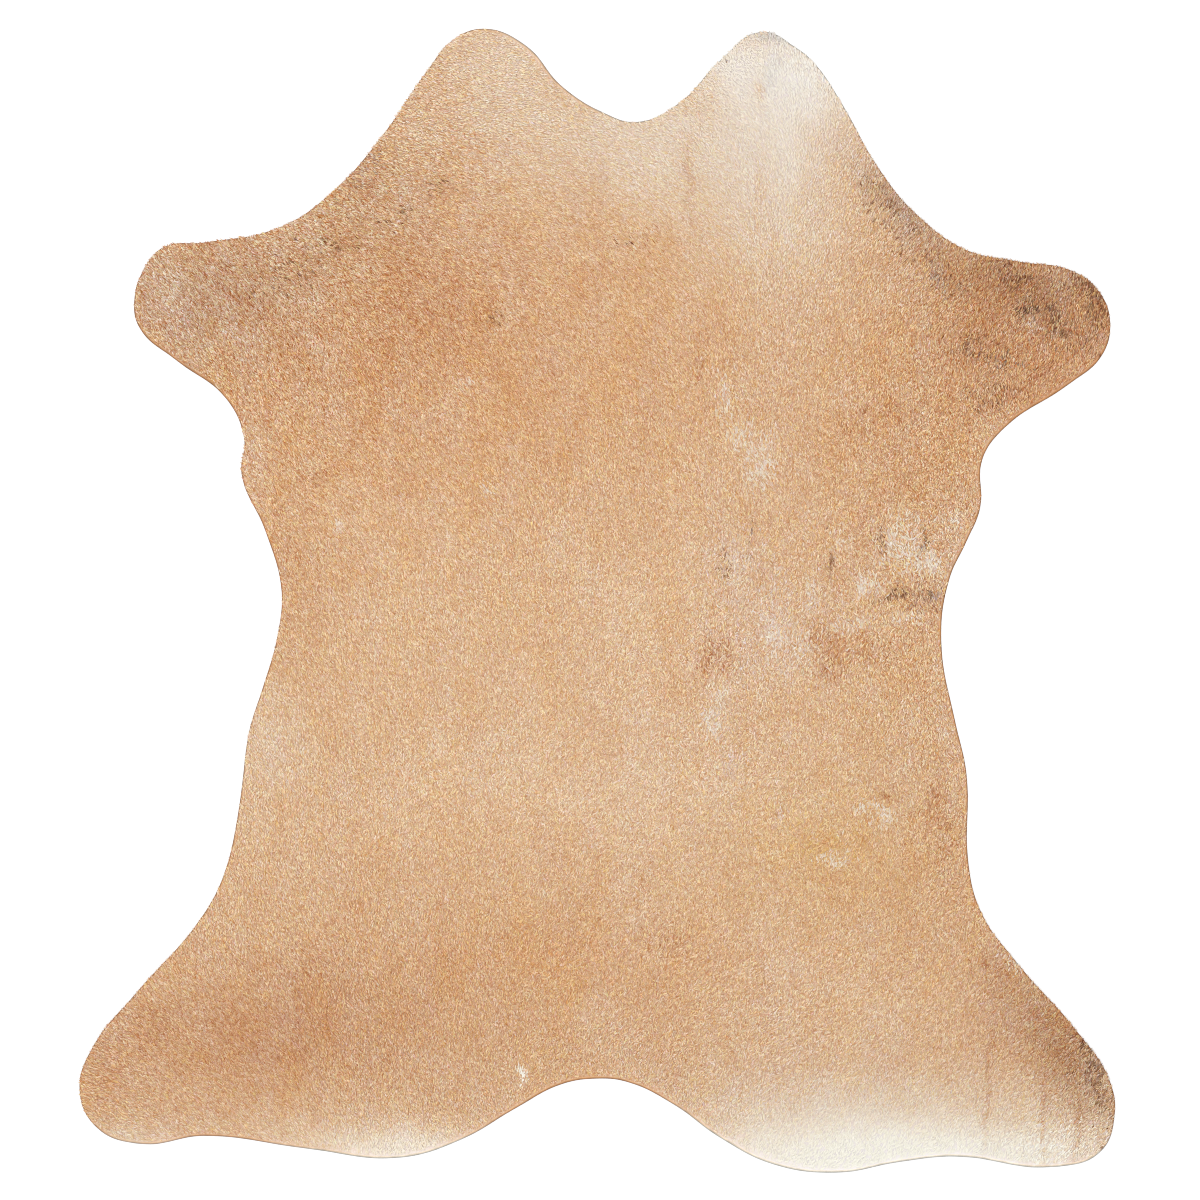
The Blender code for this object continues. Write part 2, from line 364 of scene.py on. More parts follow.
SPOTS = (
    *marked("left lobe", (
        ("warm outer side", -122, 395, 26, 50, 10, Shade.HONEY, 0.24),
    )),
    *marked("right lobe", (
        ("brightest", 181, 462, 32, 28, 0, Shade.PEARL, 0.50),
        ("inner warm side", 88, 436, 14, 22, 30, Shade.SAND, 0.24),
        ("dot", 114, 471, 2, 2, 0, Shade.SLATE, 0.80),
        ("rim specks", 201, 461, 4, 2, -45, Shade.ASH, 0.55),
    )),
    *marked("edge above the foot", (
        ("darkest", 250, 348, 22, 14, -50, Shade.UMBER, 0.20),
        ("middle", 272, 316, 24, 12, -48, Shade.UMBER, 0.14),
        ("lower end", 300, 288, 26, 10, -34, Shade.UMBER, 0.15),
    )),
    *marked("right upper foot", (
        ("black spot", 377, 255, 10, 8, 60, Shade.SOOT, 0.40),
        ("light fleck", 381, 243, 6, 4, 0, Shade.LILAC, 0.50),
        ("second spot", 396, 252, 13, 9, -50, Shade.SOOT, 0.26),
        ("upper patch", 366, 287, 34, 12, -14, Shade.UMBER, 0.30),
        ("outer patch", 436, 253, 12, 22, 10, Shade.UMBER, 0.38),
        ("tip shade", 424, 279, 22, 10, -35, Shade.UMBER, 0.34),
        ("lower spot", 408, 234, 24, 11, -30, Shade.UMBER, 0.27),
        ("slate patch", 328, 221, 22, 13, -12, Shade.UMBER, 0.27),
        ("slate end", 352, 210, 22, 13, -20, Shade.SLATE, 0.15),
        ("lower brown", 345, 182, 18, 12, 20, Shade.UMBER, 0.26),
        ("orange patch", 404, 217, 14, 12, 0, Shade.HONEY, 0.26),
        ("orange fleck", 417, 254, 8, 6, 0, Shade.HONEY, 0.45),
        ("root spot", 300, 281, 16, 9, -30, Shade.SMOKE, 0.36),
        ("lower rim", 372, 188, 44, 8, 34, Shade.RUST, 0.40),
    )),
    *marked("left band", (
        ("first spot", -229, 312, 16, 11, 30, Shade.UMBER, 0.20),
        ("second spot", -172, 337, 13, 8, 20, Shade.UMBER, 0.18),
        ("light by it", -178, 326, 8, 6, 20, Shade.LILAC, 0.50),
        ("third spot", -140, 361, 11, 8, 10, Shade.UMBER, 0.16),
        ("upper shade", -205, 370, 26, 16, 40, Shade.SMOKE, 0.22),
        ("lower end", -270, 285, 34, 20, 20, Shade.UMBER, 0.12),
        ("inner shade", -170, 300, 34, 16, 60, Shade.RUST, 0.20),
    )),
    *marked("left upper foot", (
        ("spot", -338, 290, 20, 12, 0, Shade.RUST, 0.20),
        ("second spot", -312, 268, 20, 12, -20, Shade.RUST, 0.20),
        ("pale rim", -374, 268, 18, 36, 0, Shade.LILAC, 0.36),
        ("lower side", -318, 236, 34, 12, -38, Shade.LILAC, 0.24),
    )),
    *marked("upper back", (
        ("dark scar", 25, 315, 9, 3.6, 25, Shade.UMBER, 0.40),
        ("light by the scar", 40, 319, 12, 5, 30, Shade.CREAM, 0.40),
        ("light fleck", -15, 302, 12, 8, 0, Shade.SAND, 0.40),
        ("shade", 52, 322, 20, 6, 60, Shade.RUST, 0.22),
        ("left fleck", -89, 248, 8, 5, -20, Shade.UMBER, 0.34),
        ("pale under it", -88, 238, 8, 5, 0, Shade.LILAC, 0.50),
        ("left shade", -110, 252, 34, 16, 10, Shade.RUST, 0.12),
    )),
    *marked("shoulder", (
        ("pale dash", -115, 189, 9, 4, 30, Shade.CREAM, 0.40),
        ("pale fleck", -96, 98, 6, 7, 0, Shade.CREAM, 0.42),
    )),
    *marked("left side", (
        ("pale fleck", -225, 66, 5, 6, 0, Shade.CREAM, 0.40),
        ("brown fleck", -246, 107, 14, 7, 0, Shade.RUST, 0.28),
    )),
    *marked("right of the back", (
        ("orange streak", 92, 215, 4, 24, 0, Shade.RUST, 0.34),
        ("pale streak", 112, 178, 8, 26, -4, Shade.CREAM, 0.34),
        ("pale patch", 143, 120, 15, 27, 0, Shade.CREAM, 0.46),
        ("pale tail", 124, 142, 10, 16, 20, Shade.CREAM, 0.40),
    )),
    *marked("right side", (
        ("brown mottle", 254, 166, 36, 10, 8, Shade.RUST, 0.22),
        ("second mottle", 226, 150, 16, 8, -12, Shade.RUST, 0.26),
    )),
    *marked("right flank", (
        ("pale scar", 264, 50, 19, 22, 12, Shade.CREAM, 0.74),
        ("scar's lower part", 286, 34, 16, 12, -20, Shade.CREAM, 0.60),
        ("scar's upper end", 270, 72, 20, 7, 10, Shade.CREAM, 0.36),
        ("pale by the rim", 312, 70, 9, 7, 30, Shade.CREAM, 0.40),
        ("dark by the scar", 246, 55, 6, 9, 15, Shade.UMBER, 0.32),
        ("dark band", 284, 8, 24, 3.8, 6, Shade.SOOT, 0.36),
        ("dark band's shade", 290, 6, 26, 12, 6, Shade.SMOKE, 0.40),
        ("dark band's end", 256, 5, 13, 3.2, 10, Shade.UMBER, 0.36),
        ("pale under band", 272, -14, 26, 6, 0, Shade.CREAM, 0.45),
        ("pale over band", 240, 14, 16, 9, 0, Shade.CREAM, 0.45),
        ("brown above band", 292, 20, 14, 6, 0, Shade.RUST, 0.30),
        ("brown by the rim", 320, 90, 9, 16, 0, Shade.RUST, 0.10),
    )),
    *marked("right of the middle", (
        ("dark dash", 202, 62, 2, 8, 0, Shade.UMBER, 0.38),
        ("pale by it", 216, 50, 7, 14, 0, Shade.CREAM, 0.34),
        ("pale fleck", 228, 14, 5, 10, 10, Shade.CREAM, 0.45),
        ("second fleck", 186, 8, 8, 14, 0, Shade.CREAM, 0.50),
        ("speckles", 122, 30, 26, 36, 20, Shade.LILAC, 0.40),
        ("upper streak", 132, 48, 3, 14, 0, Shade.SLATE, 0.34),
        ("dark speckle", 110, 34, 3, 14, 5, Shade.UMBER, 0.34),
        ("bright fleck", 124, 14, 4, 9, 0, Shade.CREAM, 0.46),
        ("third fleck", 155, 12, 4, 12, 0, Shade.CREAM, 0.42),
        ("lilac patch", 164, -22, 56, 46, 0, Shade.LILAC, 0.36),
        ("pale heart", 152, -30, 10, 20, 15, Shade.CREAM, 0.45),
        ("brown patch", 106, -44, 16, 20, -15, Shade.RUST, 0.55),
        ("brown heart", 98, -58, 10, 8, 20, Shade.RUST, 0.40),
        ("light fleck", 105, -80, 7, 8, 0, Shade.CREAM, 0.50),
        ("lower pale", 100, -107, 12, 12, 0, Shade.CREAM, 0.46),
        ("lilac tail", 121, -141, 13, 12, 0, Shade.LILAC, 0.55),
        ("last fleck", 160, -185, 9, 12, 0, Shade.LILAC, 0.50),
    )),
    *marked("right side", (
        ("brown patch", 204, -42, 24, 24, 10, Shade.RUST, 0.42),
        ("brown heart", 196, -62, 8, 10, 8, Shade.RUST, 0.40),
        ("brown end", 242, -44, 20, 12, 0, Shade.RUST, 0.32),
        ("pale between", 180, -38, 9, 18, 5, Shade.CREAM, 0.36),
        ("pale above", 218, -22, 18, 8, 10, Shade.CREAM, 0.40),
    )),
    *marked("middle left", (
        ("lilac fleck", -111, -154, 7, 7, 0, Shade.LILAC, 0.60),
    )),
    *marked("lower right", (
        ("bright spot", 250, -185, 12, 10, -20, Shade.CREAM, 0.62),
        ("spot's tail", 234, -182, 7, 7, 0, Shade.CREAM, 0.50),
        ("red by the spot", 252, -168, 12, 6, 0, Shade.RUST, 0.34),
        ("yellow patch", 202, -214, 30, 20, 0, Shade.STRAW, 0.66),
        ("patch's bright rim", 214, -204, 4, 10, 20, Shade.CREAM, 0.45),
        ("patch's bright foot", 208, -226, 14, 6, 0, Shade.CREAM, 0.50),
        ("patch's warm heart", 203, -209, 7, 5, 0, Shade.HONEY, 0.60),
        ("pale fleck", 302, -113, 4, 7, 0, Shade.CREAM, 0.48),
    )),
    *marked("right flank", (
        ("brown edge", 300, -185, 16, 44, 4, Shade.RUST, 0.44),
    )),
    *marked("lower middle", (
        ("orange", -54, -314, 80, 22, 0, Shade.HONEY, 0.40),
        ("red patch", 64, -297, 28, 18, 0, Shade.RUST, 0.18),
        ("white nick", -66, -411, 4, 7, 0, Shade.IVORY, 1.0),
    )),
    *marked("left lower foot", (
        ("dark patch", -280, -393, 40, 20, 10, Shade.RUST, 0.10),
        ("second patch", -200, -402, 30, 15, 0, Shade.RUST, 0.20),
        ("outer patch", -385, -370, 34, 18, 40, Shade.RUST, 0.24),
        ("upper patch", -262, -320, 34, 22, 0, Shade.RUST, 0.22),
    )),
    *marked("right lower foot", (
        ("white rim", 384, -484, 58, 24, 10, Shade.IVORY, 0.38),
        ("darkest", 436, -404, 14, 48, 14, Shade.UMBER, 0.33),
        ("red patch", 352, -323, 22, 14, -30, Shade.RUST, 0.30),
        ("pale by it", 362, -316, 12, 5, -30, Shade.CREAM, 0.34),
        ("second red", 390, -362, 26, 12, -30, Shade.RUST, 0.34),
    )),
)

TROUGHS = (
    Trough("right lower foot, inner crease", (348, -345), (336, -482), 5.0, 0.45),
    Trough("right lower foot, middle crease", (396, -412), (390, -488), 4.0, 0.40),
    Trough("right lower foot, outer crease", (422, -426), (420, -484), 4.0, 0.35),
    Trough("right lobe, long crease", (82, 408), (79, 330), 5.0, 0.30),
    Trough("right flank, short crease", (258, 2), (306, 8), 4.0, 0.30),
)

SWELLS = (
    Swell("ridge of the back", 0, -40, 110, 460, 0.45),
    Swell("left shoulder", -230, 250, 120, 90, 0.25),
    Swell("right shoulder", 300, 250, 110, 70, 0.20),
    Swell("hollow by the left flank", -190, 20, 80, 150, -0.30),
    Swell("hollow by the right flank", 220, -20, 80, 170, -0.30),
    Swell("left lower foot", -330, -390, 110, 80, 0.25),
    Swell("right lower foot", 330, -390, 110, 90, 0.20),
)


@dataclass(frozen=True)
class Mottle:
    """Smooth noise over the floor plane, from -1 to 1, with a fixed seed and its pitches in metres.

    Where no pitch in y is given, it is that in x.
    """

    seed: int
    pitch: float
    pitch_y: float = 0.0
    cells: int = 512

    def at(self, places: np.ndarray) -> np.ndarray:
        """Reads the noise.

        Args:
            places: x and y of each point, in metres.

        Returns:
            A value from -1 to 1 for each point.
        """
        values = np.random.default_rng(self.seed).uniform(-1.0, 1.0, (self.cells, self.cells))
        spot = places / np.array([self.pitch, self.pitch_y or self.pitch]) + self.cells
        low = np.floor(spot).astype(int)
        part = spot - low
        part = part * part * (3.0 - 2.0 * part)
        x0, y0 = low[:, 0] % self.cells, low[:, 1] % self.cells
        x1, y1 = (x0 + 1) % self.cells, (y0 + 1) % self.cells
        lower = values[x0, y0] * (1.0 - part[:, 0]) + values[x1, y0] * part[:, 0]
        upper = values[x0, y1] * (1.0 - part[:, 0]) + values[x1, y1] * part[:, 0]
        return lower * (1.0 - part[:, 1]) + upper * part[:, 1]


@dataclass(frozen=True)
class CoatPlan:
    """Where the coat has which shade, and which way its hair lies.

    The lay reach is how far one lay holds, and beyond all of them the nearest one counts most. Wander shifts
    the borders of the markings. Blotches and warm streaks make the shade uneven. Single hairs and speckle
    tell how far a spot takes some locks whole and spares others.
    """

    lays: tuple[Lay, ...] = LAYS
    zones: tuple[Marking, ...] = ZONES
    spots: tuple[Marking, ...] = SPOTS
    ruffs: tuple[Ruff, ...] = RUFFS
    fringes: tuple[Fringe, ...] = FRINGES
    lay_reach: float = 62 * MM
    lay_waver: float = math.radians(8)
    far_weight: float = 1e-9
    far_reach: float = 10 * MM
    wander: float = 4 * MM
    blotch: float = 0.012
    blotch_tint: Colour = (0.40, 1.10, 1.70)
    tuft_share: float = 0.9
    warm_streak: Colour = (0.002, -0.002, -0.011)
    streak_limit: float = 1.2
    single_hairs: float = 0.75
    speckle: float = 0.7
    seed: int = 51
    lay_noise: Mottle = Mottle(11, 14 * MM)
    wander_x: Mottle = Mottle(21, 13 * MM)
    wander_y: Mottle = Mottle(22, 13 * MM)
    wide_blotches: Mottle = Mottle(31, 34 * MM, 60 * MM)
    small_blotches: Mottle = Mottle(32, 13 * MM, 20 * MM)
    tufts: Mottle = Mottle(33, 5 * MM)
    specks: Mottle = Mottle(34, 2.6 * MM)
    wide_streaks: Mottle = Mottle(35, 22 * MM, 70 * MM)
    small_streaks: Mottle = Mottle(36, 8 * MM, 26 * MM)
    fine_streaks: Mottle = Mottle(37, 3.5 * MM, 8 * MM)

    def lie(self, places: np.ndarray) -> tuple[np.ndarray, np.ndarray]:
        """Works out which way the hair lies, and how loosely.

        Args:
            places: x and y of each point, in metres.

        Returns:
            The lean from +Y towards +X for each point, in radians, and how far single locks stray from it.
        """
        total = np.zeros((len(places), 4))
        for lay in self.lays:
            away = np.linalg.norm(places - np.array([lay.x, lay.y]) * MM, axis=1)
            weight = np.exp(-((away / self.lay_reach) ** 2)) + self.far_weight / (away + self.far_reach)
            lean = math.radians(lay.lean)
            total += weight[:, None] * np.array([math.sin(lean), math.cos(lean), lay.stray, 1.0])
        stray = total[:, 2] / total[:, 3]
        waver = self.lay_waver * stray * self.lay_noise.at(places)
        return np.arctan2(total[:, 0], total[:, 1]) + waver, stray

    def covers(self, places: np.ndarray) -> list[np.ndarray]:
        """Works out how much of each lock each marking takes.

        Args:
            places: x and y of each lock, in metres.

        Returns:
            A share for each lock, for each zone and then for each spot.
        """
        moved = places + self.wander * np.column_stack([self.wander_x.at(places), self.wander_y.at(places)])
        mixed = 1.0 + self.speckle * self.specks.at(places)
        chance = np.random.default_rng(self.seed)
        covers = [marking.cover(moved) for marking in self.zones]
        for marking in self.spots:
            cover = np.clip(marking.cover(moved) * mixed, 0.0, 1.0)
            taken = chance.uniform(0.0, 1.0, len(places)) < cover
            covers.append(cover + self.single_hairs * (taken - cover))
        return covers

    def shade(self, places: np.ndarray) -> tuple[np.ndarray, np.ndarray]:
        """Works out the coat's shade.

        Args:
            places: x and y of each lock, in metres.

        Returns:
            sRGB numbers from 0 to 1 for each lock, and how strongly single locks differ there.
        """
        colour = np.tile(Shade.FAWN.colour(), (len(places), 1))
        grain = np.full(len(places), Shade.FAWN.grain())
        for marking, cover in zip(self.zones + self.spots, self.covers(places)):
            colour += cover[:, None] * (marking.shade.colour() - colour)
            grain += cover * (marking.shade.grain() - grain)
        for ruff in self.ruffs:
            grain *= ruff.lift(places)
        blotches = self.wide_blotches.at(places) + self.small_blotches.at(places)
        blotches += self.tuft_share * self.tufts.at(places)
        colour += (self.blotch * blotches * grain)[:, None] * np.array(self.blotch_tint)
        noises = (self.wide_streaks, self.small_streaks, self.fine_streaks)
        streaks = sum(noise.at(places) for noise in noises)[:, None]
        colour += np.minimum(grain, self.streak_limit)[:, None] * streaks * np.array(self.warm_streak)
        return colour, grain


def to_linear(colour: np.ndarray) -> np.ndarray:
    """Turns sRGB numbers from 0 to 1 into the linear ones that shaders use.

    Args:
        colour: sRGB numbers in an array of any shape.

    Returns:
        Linear numbers in the same shape.
    """
    low = colour / 12.92
    high = ((np.maximum(colour, 0.0) + 0.055) / 1.055) ** 2.4
    return np.where(colour <= 0.04045, low, high)


def plug(tree: bpy.types.NodeTree, source: Operand, target: bpy.types.NodeSocket) -> None:
    """Links a socket to an input, or sets the input to a value.

    Args:
        tree: the tree that both belong to.
        source: the socket or the value.
        target: the input.
    """
    if isinstance(source, bpy.types.NodeSocket):
        tree.links.new(source, target)
    else:
        target.default_value = source


def add_node(tree: bpy.types.NodeTree, kind: str, **inputs: Operand) -> bpy.types.Node:
    """Adds a node and plugs its named inputs.

    Args:
        tree: the tree that takes the node.
        kind: the node's type name.
        inputs: a socket or a value for each named input.

    Returns:
        The new node.
    """
    node = tree.nodes.new(kind)
    for name, source in inputs.items():
        plug(tree, source, node.inputs[name])
    return node


def pair_node(tree: bpy.types.NodeTree, kind: str, operation: str, first: Operand,
              second: Operand) -> bpy.types.Node:
    """Adds a node that joins two operands.

    Args:
        tree: the tree that takes the node.
        kind: the node's type name.
        operation: the node's operation.
        first: the first operand.
        second: the second operand.

    Returns:
        The new node.
    """
    node = tree.nodes.new(kind)
    node.operation = operation
    for target, source in zip(node.inputs, (first, second)):
        plug(tree, source, target)
    return node


def math_node(tree: bpy.types.NodeTree, operation: str, first: Operand,
              second: Operand) -> bpy.types.NodeSocket:
    """Adds a math node on two operands and gives its output."""
    return pair_node(tree, "ShaderNodeMath", operation, first, second).outputs["Value"]


def vector_node(tree: bpy.types.NodeTree, operation: str, first: Operand,
                second: Operand) -> bpy.types.NodeSocket:
    """Adds a vector math node on two operands and gives its output."""
    return pair_node(tree, "ShaderNodeVectorMath", operation, first, second).outputs["Vector"]


def typed_socket(sockets: bpy.types.bpy_prop_collection, name: str, kind: str) -> bpy.types.NodeSocket:
    """Finds the one of several sockets of the same name that has a given type."""
    return next(socket for socket in sockets if socket.name == name and socket.type == kind)


def read_attribute(tree: bpy.types.NodeTree, name: str, output: str) -> bpy.types.NodeSocket:
    """Adds a node to a material that reads what the points carry.

    Args:
        tree: the material's tree.
        name: the attribute's name.
        output: the output that is wanted.

    Returns:
        That output.
    """
    node = tree.nodes.new("ShaderNodeAttribute")
    node.attribute_name = name
    return node.outputs[output]


def new_material(name: str) -> tuple[bpy.types.Material, bpy.types.NodeTree]:
    """Adds a material.

    Args:
        name: the material's name.

    Returns:
        The material and its node tree.
    """
    material = bpy.data.materials.new(name)
    material.use_nodes = True
    return material, material.node_tree


def set_shader(tree: bpy.types.NodeTree, inputs: dict[str, Operand]) -> None:
    """Plugs the named inputs of a material's shader.

    Args:
        tree: the material's tree.
        inputs: a socket or a value for each named input.
    """
    shader = tree.nodes["Principled BSDF"]
    for name, source in inputs.items():
        plug(tree, source, shader.inputs[name])


def add_object(name: str, data: bpy.types.ID) -> bpy.types.Object:
    """Adds an object to the scene.

    Args:
        name: the object's name.
        data: its mesh, lamp or camera.

    Returns:
        The new object.
    """
    made = bpy.data.objects.new(name, data)
    bpy.context.scene.collection.objects.link(made)
    return made


def read_points(mesh: bpy.types.Mesh) -> np.ndarray:
    """Reads where a mesh's points are.

    Args:
        mesh: the mesh.

    Returns:
        A row of x, y and z for each point.
    """
    points = np.empty(len(mesh.vertices) * 3)
    mesh.vertices.foreach_get("co", points)
    return points.reshape(-1, 3)


def read_corners(mesh: bpy.types.Mesh) -> np.ndarray:
    """Reads which point each corner of a mesh's faces stands on.

    Args:
        mesh: the mesh.

    Returns:
        The index of a point for each corner.
    """
    corners = np.empty(len(mesh.loops), int)
    mesh.loops.foreach_get("vertex_index", corners)
    return corners


def store_numbers(mesh: bpy.types.Mesh, name: str, numbers: np.ndarray) -> None:
    """Stores a number on each of a mesh's points."""
    mesh.attributes.new(name, "FLOAT", "POINT").data.foreach_set("value", numbers)


def store_colours(mesh: bpy.types.Mesh, name: str, colours: np.ndarray) -> None:
    """Stores a colour with its alpha on each of a mesh's points."""
    mesh.attributes.new(name, "FLOAT_COLOR", "POINT").data.foreach_set("color", colours.ravel())


class HairStreaks:
    """The fine hairs inside a lock, as a shader node group that every coat finish uses.

    A fawn lock's hairs run from DEEP to PALE and a pale lock's from FAINT_DEEP to FAINT_PALE. The pale ends
    stand partly for paler hairs and partly for glints on single hairs, as painted highlight. Their hue runs
    from COOL to WARM and from OLIVE to ROSY. All of these are factors on the lock's own shade.
    """

    NAME = "fine_hairs"
    DEEP = (0.57, 0.29, 0.06)
    PALE = (1.13, 1.54, 2.22)
    FAINT_DEEP = (0.58, 0.60, 0.70)
    FAINT_PALE = (1.12, 1.23, 1.58)
    PALE_FROM = 0.30
    PALE_TO = 0.58
    COOL = (1.0, 1.0, 1.13)
    WARM = (1.01, 0.99, 0.78)
    OLIVE = (0.91, 1.04, 0.98)
    ROSY = (1.09, 0.96, 1.02)
    WARMTH_LIMIT = 0.65
    ALONG = 2.5
    LOCKS_APART = 40.0
    STRAND = (2.6, 0.7, 1.0)
    STRAND_DETAIL = 2.0
    ROUGH_SWING = 0.1
    INPUTS = (("Grain", 1.0), ("Hairs", 3.0), ("Contrast", 1.0), ("Roughness", 0.6))

    @classmethod
    def group(cls) -> bpy.types.NodeTree:
        """Builds the node group once.

        Returns:
            The group, with a shade and a place on the lock in, and colour, roughness and height out.
        """
        known = bpy.data.node_groups.get(cls.NAME)
        if known is not None:
            return known
        tree = bpy.data.node_groups.new(cls.NAME, "ShaderNodeTree")
        face = tree.interface
        face.new_socket("Shade", in_out="INPUT", socket_type="NodeSocketColor")
        face.new_socket("Place", in_out="INPUT", socket_type="NodeSocketVector")
        for name, value in cls.INPUTS:
            face.new_socket(name, in_out="INPUT", socket_type="NodeSocketFloat").default_value = value
        face.new_socket("Colour", in_out="OUTPUT", socket_type="NodeSocketColor")
        face.new_socket("Roughness", in_out="OUTPUT", socket_type="NodeSocketFloat")
        face.new_socket("Height", in_out="OUTPUT", socket_type="NodeSocketFloat")
        source = tree.nodes.new("NodeGroupInput").outputs
        stretch = add_node(tree, "ShaderNodeCombineXYZ", X=source["Hairs"], Y=cls.ALONG, Z=cls.LOCKS_APART)
        place = vector_node(tree, "MULTIPLY", source["Place"], stretch.outputs["Vector"])
        hairs = add_node(tree, "ShaderNodeTexVoronoi", Vector=place, Scale=1.0)
        chance = add_node(tree, "ShaderNodeSeparateColor", Color=hairs.outputs["Color"]).outputs
        strand = vector_node(tree, "MULTIPLY", place, cls.STRAND)
        strands = add_node(tree, "ShaderNodeTexNoise", Vector=strand, Scale=1.0, Detail=cls.STRAND_DETAIL)
        strength = math_node(tree, "MULTIPLY", source["Contrast"], source["Grain"])
        even_grain = math_node(tree, "MINIMUM", source["Grain"], cls.WARMTH_LIMIT)
        even = math_node(tree, "MULTIPLY", source["Contrast"], even_grain)
        swing = cls.swing(tree, chance["Red"], strength)
        warmth = cls.swing(tree, chance["Green"], even)
        blush = cls.swing(tree, chance["Blue"], strength)
        fawn_tone = cls.tint(tree, swing, cls.DEEP, cls.PALE)
        pale_tone = cls.tint(tree, swing, cls.FAINT_DEEP, cls.FAINT_PALE)
        tone = cls.blend(tree, cls.paleness(tree, source["Shade"]), fawn_tone, pale_tone)
        hue = vector_node(tree, "MULTIPLY", cls.tint(tree, warmth, cls.COOL, cls.WARM),
                          cls.tint(tree, blush, cls.OLIVE, cls.ROSY))
        shaded = vector_node(tree, "MULTIPLY", source["Shade"], vector_node(tree, "MULTIPLY", tone, hue))
        rough = math_node(tree, "SUBTRACT", source["Roughness"],
                          math_node(tree, "MULTIPLY", swing, cls.ROUGH_SWING))
        add_node(tree, "NodeGroupOutput", Colour=shaded, Roughness=rough, Height=strands.outputs["Fac"])
        return tree

    @classmethod
    def swing(cls, tree: bpy.types.NodeTree, chance: bpy.types.NodeSocket,
              strength: bpy.types.NodeSocket) -> bpy.types.NodeSocket:
        """Turns a chance from 0 to 1 into a swing about zero, from -0.5 to 0.5 times a strength."""
        return math_node(tree, "MULTIPLY", math_node(tree, "SUBTRACT", chance, 0.5), strength)

    @classmethod
    def paleness(cls, tree: bpy.types.NodeTree, shade: bpy.types.NodeSocket) -> bpy.types.NodeSocket:
        """Tells how pale a shade is by its blue, which fawn hair has least of.

        Args:
            tree: the tree that takes the nodes.
            shade: the socket of the shade.

        Returns:
            The socket of the paleness, from 0 to 1.
        """
        own = add_node(tree, "ShaderNodeSeparateColor", Color=shade)
        limits = {"From Min": cls.PALE_FROM, "From Max": cls.PALE_TO}
        return add_node(tree, "ShaderNodeMapRange", Value=own.outputs["Blue"], **limits).outputs["Result"]

    @classmethod
    def tint(cls, tree: bpy.types.NodeTree, swing: bpy.types.NodeSocket, low: Colour,
             high: Colour) -> bpy.types.NodeSocket:
        """Adds a tint that runs from one factor to another as the swing runs from -0.5 to 0.5."""
        return cls.blend(tree, math_node(tree, "ADD", swing, 0.5), low, high)

    @classmethod
    def blend(cls, tree: bpy.types.NodeTree, share: bpy.types.NodeSocket, first: Operand,
              second: Operand) -> bpy.types.NodeSocket:
        """Adds a mix of two factors.

        Args:
            tree: the tree that takes the nodes.
            share: the socket of the second factor's share, from 0 to 1.
            first: the first factor for each colour.
            second: the second factor for each colour.

        Returns:
            The mix's socket.
        """
        mix = tree.nodes.new("ShaderNodeMix")
        mix.data_type = "VECTOR"
        for name, factor in (("A", first), ("B", second)):
            plug(tree, factor, typed_socket(mix.inputs, name, "VECTOR"))
        plug(tree, share, mix.inputs["Factor"])
        return typed_socket(mix.outputs, "Result", "VECTOR")

    @classmethod
    def lay(cls, tree: bpy.types.NodeTree, inputs: dict[str, Operand], bump: float,
            relief: float) -> dict[str, Operand]:
        """Lays the fine hairs in a material, in the shade and grain that its points carry.

        Args:
            tree: the material's tree.
            inputs: the group's other inputs: place, hairs, contrast and roughness.
            bump: the strength of the hairs' bump.
            relief: the height of the hairs, in metres.

        Returns:
            What the hairs give for each input of the shader.
        """
        fine = tree.nodes.new("ShaderNodeGroup")
        fine.node_tree = cls.group()
        plug(tree, read_attribute(tree, SHADE_ATTRIBUTE, "Color"), fine.inputs["Shade"])
        plug(tree, read_attribute(tree, GRAIN_ATTRIBUTE, "Fac"), fine.inputs["Grain"])
        for name, source in inputs.items():
            plug(tree, source, fine.inputs[name])
        height = fine.outputs["Height"]
        raised = add_node(tree, "ShaderNodeBump", Strength=bump, Distance=relief, Height=height)
        return {
            "Base Color": fine.outputs["Colour"],
            "Roughness": fine.outputs["Roughness"],
            "Normal": raised.outputs["Normal"],
        }


@dataclass(frozen=True)
class HairFinish:
    """The finish of one coat layer: its roughness and sheen, and the fine hairs inside its locks."""

    name: str
    sheen: float
    hairs: float
    roughness: float = 0.62
    sheen_roughness: float = 0.5
    gloss: float = 0.35
    contrast: float = 0.70
    bump: float = 0.25
    relief: float = 0.10 * MM

    def build(self) -> bpy.types.Material:
        """Builds the material.

        Returns:
            A material whose colour comes from the locks' own shades.
        """
        material, tree = new_material(self.name)
        inputs = {
            "Place": read_attribute(tree, LOCK_ATTRIBUTE, "Vector"),
            "Hairs": self.hairs,
            "Contrast": self.contrast,
            "Roughness": self.roughness,
        }
        gloss = {
            "Sheen Weight": self.sheen,
            "Sheen Roughness": self.sheen_roughness,
            "Specular IOR Level": self.gloss,
        }
        set_shader(tree, gloss | HairStreaks.lay(tree, inputs, self.bump, self.relief))
        return material


@dataclass(frozen=True)
class HairSideFinish:
    """The skin between the hair roots, with the close underwool that hides it, in the hair side's painted
    shade.
    """

    name: str = "skin_under_hair"
    roughness: float = 0.75
    wool_pitch: float = 1.1 * MM
    stretch: float = 0.3
    contrast: float = 0.5
    bump: float = 0.7
    relief: float = 0.4 * MM

    def build(self) -> bpy.types.Material:
        """Builds the material.

        Returns:
            A material whose wool streaks run along the hide.
        """
        material, tree = new_material(self.name)
        where = tree.nodes.new("ShaderNodeTexCoord").outputs["Object"]
        scale = (1 / self.wool_pitch, self.stretch / self.wool_pitch, 1.0)
        place = add_node(tree, "ShaderNodeMapping", Vector=where, Scale=scale).outputs["Vector"]
        inputs = {"Place": place, "Hairs": 1.0, "Contrast": self.contrast, "Roughness": self.roughness}
        set_shader(tree, HairStreaks.lay(tree, inputs, self.bump, self.relief))
        return material


